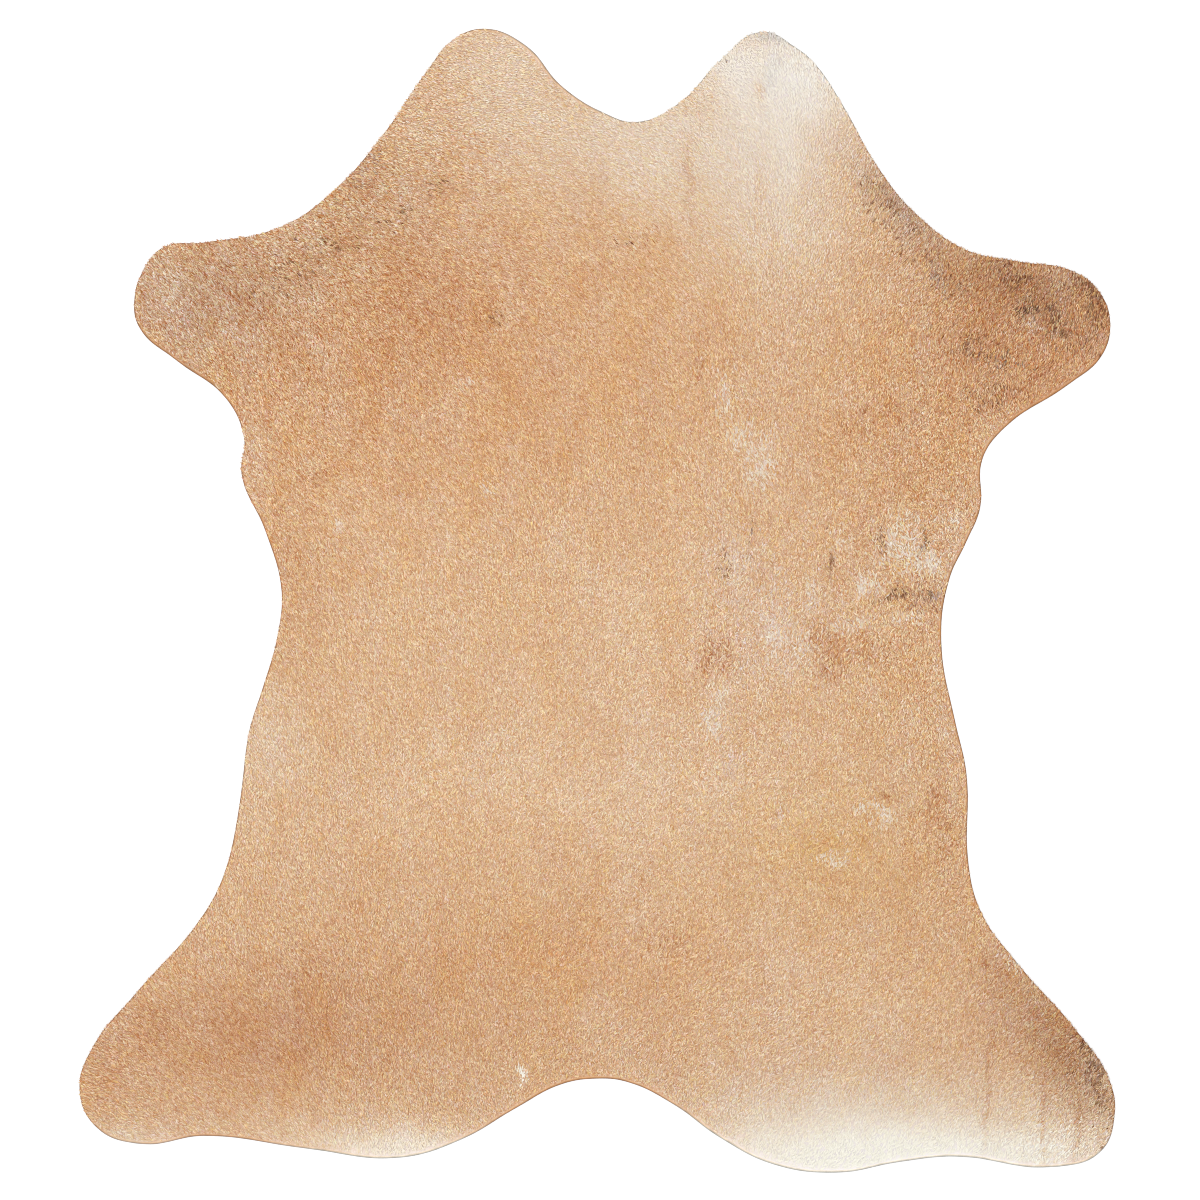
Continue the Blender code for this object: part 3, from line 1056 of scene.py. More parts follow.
@dataclass(frozen=True)
class TannedFinish:
    """Bare tanned leather, as on the cut edge and the napped flesh side."""

    name: str
    dark: Colour
    light: Colour
    nap_pitch: float
    cloud_pitch: float
    roughness: float
    relief: float
    tint: str = ""
    cloud_share: float = 0.6
    nap_share: float = 0.4
    cloud_detail: float = 4.0
    nap_detail: float = 3.0
    blend_ends: tuple[float, float] = (0.35, 0.65)
    nap_roughness: float = 0.15
    bump: float = 0.8
    gloss: float = 0.3

    def build(self) -> bpy.types.Material:
        """Builds the material.

        Returns:
            A material with wide clouds of colour and a fine nap, in the points' tint where it has one.
        """
        material, tree = new_material(self.name)
        where = tree.nodes.new("ShaderNodeTexCoord").outputs["Object"]
        clouds = self.noise(tree, where, self.cloud_pitch, self.cloud_detail)
        nap = self.noise(tree, where, self.nap_pitch, self.nap_detail)
        blend = math_node(tree, "ADD", math_node(tree, "MULTIPLY", clouds, self.cloud_share),
                          math_node(tree, "MULTIPLY", nap, self.nap_share))
        ramp = add_node(tree, "ShaderNodeValToRGB", Fac=blend)
        ends = zip(ramp.color_ramp.elements, self.blend_ends, (self.dark, self.light))
        for end, position, colour in ends:
            end.position = position
            end.color = (*colour, 1.0)
        colour = ramp.outputs["Color"]
        if self.tint:
            colour = vector_node(tree, "MULTIPLY", colour, read_attribute(tree, self.tint, "Color"))
        rough = math_node(tree, "ADD", math_node(tree, "MULTIPLY", nap, self.nap_roughness), self.roughness)
        raised = add_node(tree, "ShaderNodeBump", Strength=self.bump, Distance=self.relief, Height=nap)
        set_shader(tree, {
            "Specular IOR Level": self.gloss,
            "Base Color": colour,
            "Roughness": rough,
            "Normal": raised.outputs["Normal"],
        })
        return material

    def noise(self, tree: bpy.types.NodeTree, where: bpy.types.NodeSocket, pitch: float,
              detail: float) -> bpy.types.NodeSocket:
        """Adds a noise of a given pitch in metres and gives its value."""
        node = add_node(tree, "ShaderNodeTexNoise", Vector=where, Scale=1 / pitch, Detail=detail)
        return node.outputs["Fac"]


# The cut edge is tinted by the rim colours that paint() stores, which hold painted contact shadow.
CUT_EDGE = TannedFinish("cut_edge", dark=(0.75, 0.75, 0.75), light=(1.2, 1.2, 1.2), nap_pitch=0.4 * MM,
                        cloud_pitch=9 * MM, roughness=0.7, relief=0.1 * MM, tint=SHADE_ATTRIBUTE)
FLESH_SIDE = TannedFinish("flesh_side", dark=(0.44, 0.36, 0.28), light=(0.60, 0.52, 0.43),
                          nap_pitch=0.8 * MM, cloud_pitch=45 * MM, roughness=0.8, relief=0.3 * MM)


def inside(places: np.ndarray, loop: np.ndarray) -> np.ndarray:
    """Tells which points lie inside a closed outline.

    Args:
        places: x and y of each point.
        loop: x and y of the outline's points, in order.

    Returns:
        True for each point inside.
    """
    result = np.zeros(len(places), bool)
    for (x0, y0), (x1, y1) in zip(loop, np.roll(loop, -1, axis=0)):
        if y0 == y1:
            continue
        crosses = (places[:, 1] > min(y0, y1)) & (places[:, 1] <= max(y0, y1))
        edge_x = x0 + (places[:, 1] - y0) * (x1 - x0) / (y1 - y0)
        result ^= crosses & (places[:, 0] < edge_x)
    return result


def edge_distance(places: np.ndarray, loop: np.ndarray) -> np.ndarray:
    """Measures how far points lie from an outline, a batch of points at a time.

    Args:
        places: x and y of each point.
        loop: x and y of the outline's points, closely spaced.

    Returns:
        The distance to the nearest outline point for each point.
    """
    batch = 2000
    result = np.empty(len(places))
    for first in range(0, len(places), batch):
        away = places[first:first + batch, None, :] - loop[None, :, :]
        result[first:first + batch] = np.sqrt((away**2).sum(axis=2).min(axis=1))
    return result


def outward(loop: np.ndarray) -> np.ndarray:
    """Gives the outward direction at each point of a counter-clockwise outline.

    Args:
        loop: x and y of the outline's points.

    Returns:
        A unit vector for each point.
    """
    run = np.roll(loop, -1, axis=0) - np.roll(loop, 1, axis=0)
    normal = np.column_stack([run[:, 1], -run[:, 0]])
    return normal / np.linalg.norm(normal, axis=1)[:, None]


@dataclass(frozen=True)
class LeatherMap:
    """Where the leather's surfaces lie in its bake map, in shares of the map.

    The hair side fills the lower left and the flesh side stands to its right. Above them, the cut edge runs
    in rows. In each row, the faces below the bulge lie under those above it.
    """

    margin: float = 0.01
    hair_side: float = 0.78
    flesh_from: float = 0.76
    flesh_side: float = 0.24
    edge_from: float = 0.81
    edge_height: float = 0.18
    edge_width: float = 0.96
    rows: int = 30
    row_foot: float = 0.08
    row_step: float = 0.42
    row_face: float = 0.38

    def lay(self, mesh: bpy.types.Mesh, points: np.ndarray, sides: list[int]) -> None:
        """Lays the three surfaces side by side.

        Args:
            mesh: the leather's mesh.
            points: its points.
            sides: the surface of each face.
        """
        low, high = points[:, :2].min(axis=0), points[:, :2].max(axis=0)
        share = (points[:, :2] - low) / (high - low)[1]
        corners = read_corners(mesh)
        side = np.repeat(np.array(sides), [face.loop_total for face in mesh.polygons])
        spot = self.margin + self.hair_side * share[corners]
        flesh = side == Surface.FLESH_SIDE.value
        spot[flesh] = np.array([self.flesh_from, self.margin]) + self.flesh_side * share[corners[flesh]]
        edge_faces = np.flatnonzero(side == Surface.CUT_EDGE.value).reshape(-1, 4)
        count = len(edge_faces)
        run = np.arange(count) // 2 / (count / 2) * self.rows
        row = np.floor(run)
        above_bulge = (np.arange(count) + 1) % 2
        for corner, (ahead, higher) in enumerate(((0, 0), (1, 0), (1, 1), (0, 1))):
            along = np.minimum(run - row + ahead * 2 * self.rows / count, 1.0)
            height = row + self.row_foot + self.row_step * above_bulge + self.row_face * higher
            spot[edge_faces[:, corner], 0] = self.margin + self.edge_width * along
            spot[edge_faces[:, corner], 1] = self.edge_from + self.edge_height * (height / self.rows)
        mesh.uv_layers.new(name=BAKE_MAP).data.foreach_set("uv", spot.ravel())


@dataclass
class LeatherSheet:
    """The tanned leather: a thin closed sheet on the hide's outline, with its hair side up.

    The loop is the leather's own edge and the rim is the hide's outline with its hair. Both are x and y in
    metres, counter-clockwise, and build() works them out. The finishes are in the order of Surface. The edge
    clearance is a share of a pitch, the bulge's height one of the edge's, and the shortest share one of a
    lock's length.
    """

    plan: CoatPlan
    finishes: tuple[HairSideFinish, TannedFinish, TannedFinish] = (HairSideFinish(), CUT_EDGE, FLESH_SIDE)
    thickness: float = 1.2 * MM
    unevenness: float = 0.06 * MM
    uneven_noise: Mottle = Mottle(41, 9 * MM)
    edge_pitch: float = 2.5 * MM
    hair_side_pitch: float = 7.0 * MM
    flesh_side_pitch: float = 16.0 * MM
    edge_clearance: float = 0.45
    edge_slope: float = 2.0 * MM
    edge_undercut: float = 0.15 * MM
    bulge_height: float = 0.4
    sharp_angle: float = math.radians(50)
    weld: float = 0.001 * MM
    floor_reach: float = 0.1 * MM
    facing_down: float = -0.99
    curve_steps: int = 12
    hair_overhang: float = 1.5 * MM
    overhang_smoothing: int = 6
    trim_steps: int = 12
    shortest_share: float = 0.25
    painted_root_shade: float = 0.14
    grain_limit: float = 1.5
    painted_shade_tint: Colour = (1.03, 0.97, 0.88)
    # Rim colours: the cut edge's brown, turning grey under pale hair, darkened as painted contact shadow.
    rim_brown_and_shadow: Colour = (0.18, 0.068, 0.022)
    rim_grey_and_shadow: Colour = (0.25, 0.25, 0.23)
    pale_from: float = 0.40
    pale_range: float = 0.14
    loop: np.ndarray = field(default_factory=lambda: np.zeros((0, 2)))
    rim: np.ndarray = field(default_factory=lambda: np.zeros((0, 2)))

    def cut_edge(self, node: bpy.types.Object) -> np.ndarray:
        """Follows the rim of the solid's flat underside.

        Args:
            node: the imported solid.

        Returns:
            x and y of the rim's points, counter-clockwise, evenly spaced along a smooth curve.
        """
        mesh = bmesh.new()
        mesh.from_mesh(node.data)
        bmesh.ops.remove_doubles(mesh, verts=mesh.verts, dist=self.weld)
        mesh.normal_update()
        following: dict[int, int] = {}
        place = {vert.index: vert.co.copy() for vert in mesh.verts}
        for edge in mesh.edges:
            faces = [face for face in edge.link_faces if face.normal.z < self.facing_down]
            if len(faces) != 1 or max(vert.co.z for vert in edge.verts) > self.floor_reach:
                continue
            for corner in faces[0].loops:
                if corner.edge == edge:
                    following[corner.link_loop_next.vert.index] = corner.vert.index
        mesh.free()
        start = min(following)
        order = [start]
        while following[order[-1]] != start:
            order.append(following[order[-1]])
        return self.smooth_loop(np.array([place[index][:2] for index in order]))

    def smooth_loop(self, knots: np.ndarray) -> np.ndarray:
        """Runs a smooth closed curve through points and spaces new points evenly on it.

        Args:
            knots: x and y of the points, in order.

        Returns:
            x and y of the new points, an edge pitch apart.
        """
        before, after, beyond = (np.roll(knots, shift, axis=0) for shift in (1, -1, -2))
        share = np.linspace(0.0, 1.0, self.curve_steps, endpoint=False)[None, :, None]
        k0, k1, k2, k3 = (each[:, None, :] for each in (before, knots, after, beyond))
        curve = 0.5 * (2 * k1 + (k2 - k0) * share + (2 * k0 - 5 * k1 + 4 * k2 - k3) * share**2
                       + (3 * k1 - k0 - 3 * k2 + k3) * share**3)
        curve = curve.reshape(-1, 2)
        closed = np.vstack([curve, curve[:1]])
        run = np.concatenate([[0.0], np.cumsum(np.linalg.norm(np.diff(closed, axis=0), axis=1))])
        steps = np.linspace(0.0, run[-1], int(run[-1] / self.edge_pitch), endpoint=False)
        return np.column_stack([np.interp(steps, run, closed[:, axis]) for axis in (0, 1)])

    def drawn_in(self) -> np.ndarray:
        """Draws the leather's edge in from the rim where hair tips reach past it.

        Returns:
            x and y of the leather's own edge.
        """
        normal = outward(self.rim)
        lean, _ = self.plan.lie(self.rim)
        facing = np.clip((normal * np.column_stack([np.sin(lean), np.cos(lean)])).sum(axis=1), 0.0, 1.0)
        shifts = range(-self.overhang_smoothing, self.overhang_smoothing + 1)
        smooth = sum(np.roll(facing, shift) for shift in shifts) / len(shifts)
        return self.rim - normal * (self.hair_overhang * smooth)[:, None]

    def relief(self, places: np.ndarray) -> np.ndarray:
        """Gives the height of the leather's hair side.

        Args:
            places: x and y of each point, in metres.

        Returns:
            The height above the floor for each point.
        """
        height = np.full(len(places), self.thickness)
        for form in SWELLS + TROUGHS:
            height += form.height(places)
        return height + self.unevenness * self.uneven_noise.at(places)

    def cap(self, pitch: float) -> tuple[np.ndarray, list[tuple[int, ...]]]:
        """Fills the outline with even triangles.

        Args:
            pitch: the distance between the points inside.

        Returns:
            x and y of all points, the outline's first, and the triangles, counter-clockwise.
        """
        low, high = self.loop.min(axis=0), self.loop.max(axis=0)
        row_pitch = pitch * math.sqrt(0.75)
        rows = []
        for index, y in enumerate(np.arange(low[1], high[1], row_pitch)):
            xs = np.arange(low[0] + (index % 2) * pitch / 2, high[0], pitch)
            rows.append(np.column_stack([xs, np.full(len(xs), y)]))
        grid = np.vstack(rows)
        grid = grid[inside(grid, self.loop)]
        grid = grid[edge_distance(grid, self.loop) > self.edge_clearance * pitch]
        points = [Vector(each) for each in np.vstack([self.loop, grid])]
        border = [list(range(len(self.loop)))]
        only_inside, closest = 1, 1e-7
        places, _, faces, *_ = delaunay_2d_cdt(points, [], border, only_inside, closest)
        return np.array([tuple(each) for each in places]), [tuple(face) for face in faces]

    def shell(self) -> tuple[np.ndarray, list[tuple[int, ...]], list[int], int]:
        """Closes the hair side and the flesh side with a cut edge that bulges a little.

        Returns:
            The points with those of the hair side first, the faces, the surface of each face, and how many
            points the hair side has.
        """
        count = len(self.loop)
        normal = outward(self.loop)
        top, top_faces = self.cap(self.hair_side_pitch)
        under, under_faces = self.cap(self.flesh_side_pitch)
        top[:count] = self.loop - normal * self.edge_slope
        top_points = np.column_stack([top, self.relief(top)])
        under_points = np.column_stack([under, np.zeros(len(under))])
        under_points[:count, :2] = self.loop - normal * self.edge_undercut
        bulge_points = np.column_stack([self.loop, self.bulge_height * top_points[:count, 2]])
        under_first, bulge_first = len(top), len(top) + len(under)
        faces = list(top_faces)
        faces += [tuple(under_first + index for index in reversed(face)) for face in under_faces]
        sides = [Surface.HAIR_SIDE.value] * len(top_faces) + [Surface.FLESH_SIDE.value] * len(under_faces)
        for here in range(count):
            after = (here + 1) % count
            faces.append((bulge_first + here, bulge_first + after, after, here))
            faces.append((under_first + here, under_first + after, bulge_first + after, bulge_first + here))
        sides += [Surface.CUT_EDGE.value] * (2 * count)
        return np.vstack([top_points, under_points, bulge_points]), faces, sides, len(top)

    def build(self, node: bpy.types.Object) -> bpy.types.Object:
        """Builds the closed sheet.

        Args:
            node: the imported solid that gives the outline.

        Returns:
            The leather's object, with its three materials.
        """
        self.rim = self.cut_edge(node)
        self.loop = self.drawn_in()
        points, faces, sides, top_count = self.shell()
        mesh = bpy.data.meshes.new("hide_leather")
        mesh.from_pydata(points.tolist(), [], faces)
        mesh.polygons.foreach_set("material_index", sides)
        mesh.polygons.foreach_set("use_smooth", [True] * len(faces))
        mesh.update()
        mesh.set_sharp_from_angle(angle=self.sharp_angle)
        self.paint(mesh, points, top_count)
        LeatherMap().lay(mesh, points, sides)
        for finish in self.finishes:
            mesh.materials.append(finish.build())
        return add_object("hide_leather", mesh)

    def paint(self, mesh: bpy.types.Mesh, points: np.ndarray, top_count: int) -> None:
        """Stores the coat's shade on the hair side, with painted shade between roots, and the rim's below
        it.

        Args:
            mesh: the leather's mesh.
            points: its points, those of the hair side first.
            top_count: how many points the hair side has.
        """
        colour, grain = self.plan.shade(points[:, :2])
        # Painted shade: the hair side is darkened and warmed between the roots.
        dimming = 1.0 - self.painted_root_shade * np.clip(grain, 0.0, self.grain_limit)
        linear = to_linear(np.clip(colour, 0.0, 1.0)) * dimming[:, None]
        linear *= 1.0 + np.minimum(grain, 1.0)[:, None] * (np.array(self.painted_shade_tint) - 1.0)
        # The rim takes the cut edge's colour, darkened as painted contact shadow and greyer under pale hair.
        pale = np.clip((linear @ LUMINANCE - self.pale_from) / self.pale_range, 0.0, 1.0)[:, None]
        rim = np.array(self.rim_brown_and_shadow) + pale * (np.array(self.rim_grey_and_shadow) - np.array(self.rim_brown_and_shadow))
        linear[top_count:] = rim[top_count:]
        store_numbers(mesh, GRAIN_ATTRIBUTE, grain)
        store_colours(mesh, SHADE_ATTRIBUTE, np.column_stack([linear, np.ones(len(points))]))

    def bed(self, leather: bpy.types.Object) -> bpy.types.Object:
        """Copies the hair side as the bed that the coat grows on.

        Args:
            leather: the leather's object.

        Returns:
            An open mesh object that carries the hair's lean and how far it strays.
        """
        cut = bmesh.new()
        cut.from_mesh(leather.data)
        others = [face for face in cut.faces if face.material_index != Surface.HAIR_SIDE.value]
        bmesh.ops.delete(cut, geom=others, context="FACES")
        mesh = bpy.data.meshes.new("coat_bed")
        cut.to_mesh(mesh)
        cut.free()
        mesh.materials.clear()
        for name in (SHADE_ATTRIBUTE, GRAIN_ATTRIBUTE, BAKE_MAP):
            mesh.attributes.remove(mesh.attributes[name])
        lean, stray = self.plan.lie(read_points(mesh)[:, :2])
        store_numbers(mesh, LEAN_ATTRIBUTE, lean)
        store_numbers(mesh, STRAY_ATTRIBUTE, stray)
        return add_object("coat_bed", mesh)

    def trim(self, locks: np.ndarray, spare: np.ndarray) -> np.ndarray:
        """Cuts back the locks whose tips pass the hide's outline.

        Args:
            locks: the four points of each lock, root first and tip last.
            spare: how far from the outline each tip stays.

        Returns:
            The same locks, with those at the outline shorter.
        """
        root, run = locks[:, 0, :2], locks[:, 3, :2] - locks[:, 0, :2]
        length = np.linalg.norm(run, axis=1)
        over = np.flatnonzero(~inside(root + run * (1.0 + spare / length)[:, None], self.rim))
        keep = np.full(len(over), self.shortest_share)
        for share in np.linspace(self.shortest_share, 1.0, self.trim_steps):
            reach = share + spare[over] / length[over]
            keep[inside(root[over] + run[over] * reach[:, None], self.rim)] = share
        trimmed = locks.copy()
        trimmed[over] = locks[over, :1] + (locks[over] - locks[over, :1]) * keep[:, None, None]
        return trimmed


@dataclass(frozen=True)
class LockShape:
    """One lock of hair as a slim closed spindle, one unit long, wide and deep, ridged from root to tip."""

    belly: float = 0.42

    def points(self) -> list[tuple[float, float, float]]:
        """Gives the root, the two sides and the tip."""
        return [(0, 0, 0), (-0.5, self.belly, -1), (0.5, self.belly, -1), (0, 1, 0)]

    def build(self) -> bpy.types.Object:
        """Builds the lock.

        Returns:
            An object with four points and four faces, the upper two first.
        """
        mesh = bpy.data.meshes.new("lock_shape")
        mesh.from_pydata(self.points(), [], [(0, 3, 1), (0, 2, 3), (0, 1, 2), (3, 2, 1)])
        mesh.update()
        return add_object("lock_shape", mesh)


class CoatTree:
    """The Geometry Nodes tree that grows lying locks on a bed."""

    NAME = "lying_locks"
    FLOATS = ("Density", "Length", "Width", "Depth", "Lift", "Pitch", "Splay", "Roll", "Root Height")
    WIDTHS = (0.7, 1.3)
    LENGTHS = (0.72, 1.12)

    def __init__(self) -> None:
        """Builds the tree with its named inputs."""
        self.tree = bpy.data.node_groups.new(self.NAME, "GeometryNodeTree")
        face = self.tree.interface
        face.new_socket("Bed", in_out="INPUT", socket_type="NodeSocketGeometry")
        face.new_socket("Lock", in_out="INPUT", socket_type="NodeSocketObject")
        face.new_socket("Finish", in_out="INPUT", socket_type="NodeSocketMaterial")
        face.new_socket("Seed", in_out="INPUT", socket_type="NodeSocketInt")
        for name in self.FLOATS:
            face.new_socket(name, in_out="INPUT", socket_type="NodeSocketFloat")
        face.new_socket("Coat", in_out="OUTPUT", socket_type="NodeSocketGeometry")
        self.sizes = self.tree.nodes.new("NodeGroupInput").outputs
        self.grow()

    def add(self, kind: str, **inputs: Operand) -> bpy.types.Node:
        """Adds a node to the tree and plugs its named inputs."""
        return add_node(self.tree, kind, **inputs)

    def math(self, operation: str, first: Operand, second: Operand) -> bpy.types.NodeSocket:
        """Adds a math node to the tree and gives its output."""
        return math_node(self.tree, operation, first, second)

    def random(self, low: float, high: float, offset: int) -> bpy.types.NodeSocket:
        """Adds a random number for each lock.

        Args:
            low: the lowest value.
            high: the highest value.
            offset: what is added to the tree's seed.

        Returns:
            The random number's socket.
        """
        node = self.add("FunctionNodeRandomValue", Seed=self.math("ADD", self.sizes["Seed"], offset))
        node.data_type = "FLOAT"
        typed_socket(node.inputs, "Min", "VALUE").default_value = low
        typed_socket(node.inputs, "Max", "VALUE").default_value = high
        return typed_socket(node.outputs, "Value", "VALUE")

    def turn(self, name: str, draw: Draw) -> bpy.types.NodeSocket:
        """Gives a random turn about zero that is mostly small.

        Args:
            name: the input that holds the largest turn.
            draw: the first of the turn's two draws.

        Returns:
            The turn's socket.
        """
        first, second = (self.random(-0.5, 0.5, draw.value + step) for step in (0, 1))
        return self.math("MULTIPLY", self.math("ADD", first, second), self.sizes[name])

    def attribute(self, name: str) -> bpy.types.NodeSocket:
        """Reads a number that the bed carries.

        Args:
            name: the attribute's name.

        Returns:
            The number's socket.
        """
        node = self.tree.nodes.new("GeometryNodeInputNamedAttribute")
        node.data_type = "FLOAT"
        node.inputs["Name"].default_value = name
        return node.outputs["Attribute"]

    def grow(self) -> None:
        """Places the locks: scattered on the bed, leaned with the coat, laid low and made real."""
        sizes = self.sizes
        scatter = self.add("GeometryNodeDistributePointsOnFaces", Mesh=sizes["Bed"],
                           Density=sizes["Density"], Seed=sizes["Seed"])
        lock = self.add("GeometryNodeObjectInfo", Object=sizes["Lock"])
        pitch = self.math("ADD", sizes["Lift"], self.turn("Pitch", Draw.PITCH))
        splay = self.math("MULTIPLY", self.turn("Splay", Draw.SPLAY), self.attribute(STRAY_ATTRIBUTE))
        lean = self.math("SUBTRACT", splay, self.attribute(LEAN_ATTRIBUTE))
        turn = self.add("ShaderNodeCombineXYZ", X=pitch, Y=self.turn("Roll", Draw.ROLL), Z=lean)
        width = self.math("MULTIPLY", sizes["Width"], self.random(*self.WIDTHS, Draw.WIDTH.value))
        length = self.math("MULTIPLY", sizes["Length"], self.random(*self.LENGTHS, Draw.LENGTH.value))
        size = self.add("ShaderNodeCombineXYZ", X=width, Y=length, Z=sizes["Depth"])
        place = self.add("GeometryNodeInstanceOnPoints", Points=scatter.outputs["Points"],
                         Instance=lock.outputs["Geometry"], Rotation=turn.outputs["Vector"],
                         Scale=size.outputs["Vector"])
        height = self.add("ShaderNodeCombineXYZ", Z=sizes["Root Height"])
        raised = self.add("GeometryNodeTranslateInstances", Instances=place.outputs["Instances"],
                          Translation=height.outputs["Vector"])
        raised.inputs["Local Space"].default_value = False
        real = self.add("GeometryNodeRealizeInstances", Geometry=raised.outputs["Instances"])
        dressed = self.add("GeometryNodeSetMaterial", Geometry=real.outputs["Geometry"],
                           Material=sizes["Finish"])
        self.add("NodeGroupOutput", Coat=dressed.outputs["Geometry"])

    def apply(self, bed: bpy.types.Object, values: dict[str, object]) -> bpy.types.Mesh:
        """Runs the tree on a bed and takes its result as a plain mesh.

        Args:
            bed: the object that the locks grow on.
            values: a value for each named input.

        Returns:
            The locks' mesh.
        """
        modifier = bed.modifiers.new(self.NAME, "NODES")
        modifier.node_group = self.tree
        for item in self.tree.interface.items_tree:
            if item.in_out == "INPUT" and item.name in values:
                modifier[item.identifier] = values[item.name]
        bpy.context.view_layer.update()
        evaluated = bed.evaluated_get(bpy.context.evaluated_depsgraph_get())
        mesh = bpy.data.meshes.new_from_object(evaluated)
        bed.modifiers.remove(modifier)
        return mesh


@dataclass(frozen=True)
class LockTones:
    """How single locks differ from the coat's shade, and how a lock's colour runs from its root to its tip.

    The swings, the light hair and the deep loss are in sRGB from 0 to 1. The gain and the factors at a
    lock's root, sides and tip are for linear numbers. The darker root and sides are painted shade where
    locks lie under others, and the lighter tip is painted light.
    """

    light_share: float = 0.26
    light_hair: Colour = (0.87, 0.88, 0.88)
    deep_loss: Colour = (0.060, 0.135, 0.235)
    tone_limit: float = 3.0
    warm_swing: Colour = (0.006, 0.0, -0.040)
    rosy_swing: Colour = (0.012, -0.004, 0.002)
    darkest: float = 0.02
    gain: Colour = (1.0, 1.025, 0.93)
    # Painted shade at the root and sides, painted light at the tip.
    root: Colour = (0.85, 0.71, 0.54)
    sides: Colour = (0.97, 0.97, 0.97)
    tip: Colour = (1.02, 1.05, 1.09)
    run_limit: float = 1.5

    def vary(self, colour: np.ndarray, grain: np.ndarray, tone: np.ndarray,
             chance: np.random.Generator) -> np.ndarray:
        """Gives each lock a colour of its own.

        Args:
            colour: the coat's shade at each lock.
            grain: how strongly single locks differ there.
            tone: how light or deep each lock is, about zero.
            chance: the layer's random numbers.

        Returns:
            A linear colour for each lock.
        """
        light = np.clip(tone, 0.0, self.tone_limit)[:, None]
        deep = np.clip(-tone, 0.0, self.tone_limit)[:, None]
        colour = colour + self.light_share * light * (np.maximum(self.light_hair, colour) - colour)
        colour = colour * (1.0 - deep * np.array(self.deep_loss))
        even = np.minimum(grain, HairStreaks.WARMTH_LIMIT)
        warmth = (chance.normal(0.0, 1.0, len(grain)) * even)[:, None]
        blush = (chance.normal(0.0, 1.0, len(grain)) * even)[:, None]
        colour = colour + warmth * np.array(self.warm_swing) + blush * np.array(self.rosy_swing)
        return to_linear(np.clip(colour, self.darkest, 1.0)) * np.array(self.gain)

    def run(self, linear: np.ndarray, grain: np.ndarray) -> np.ndarray:
        """Runs each lock's colour from its root to its tip.

        Args:
            linear: the linear colour of each lock.
            grain: how strongly single locks differ there.

        Returns:
            A colour with its alpha for each of the four points of each lock.
        """
        factors = np.array([[self.root, self.sides, self.sides, self.tip]])
        along = 1.0 + (factors - 1.0) * np.clip(grain, 0.0, self.run_limit)[:, None, None]
        shades = np.ones((len(grain), 4, 4))
        shades[:, :, :3] = np.clip(linear[:, None, :] * along, 0.0, 1.0)
        return shades


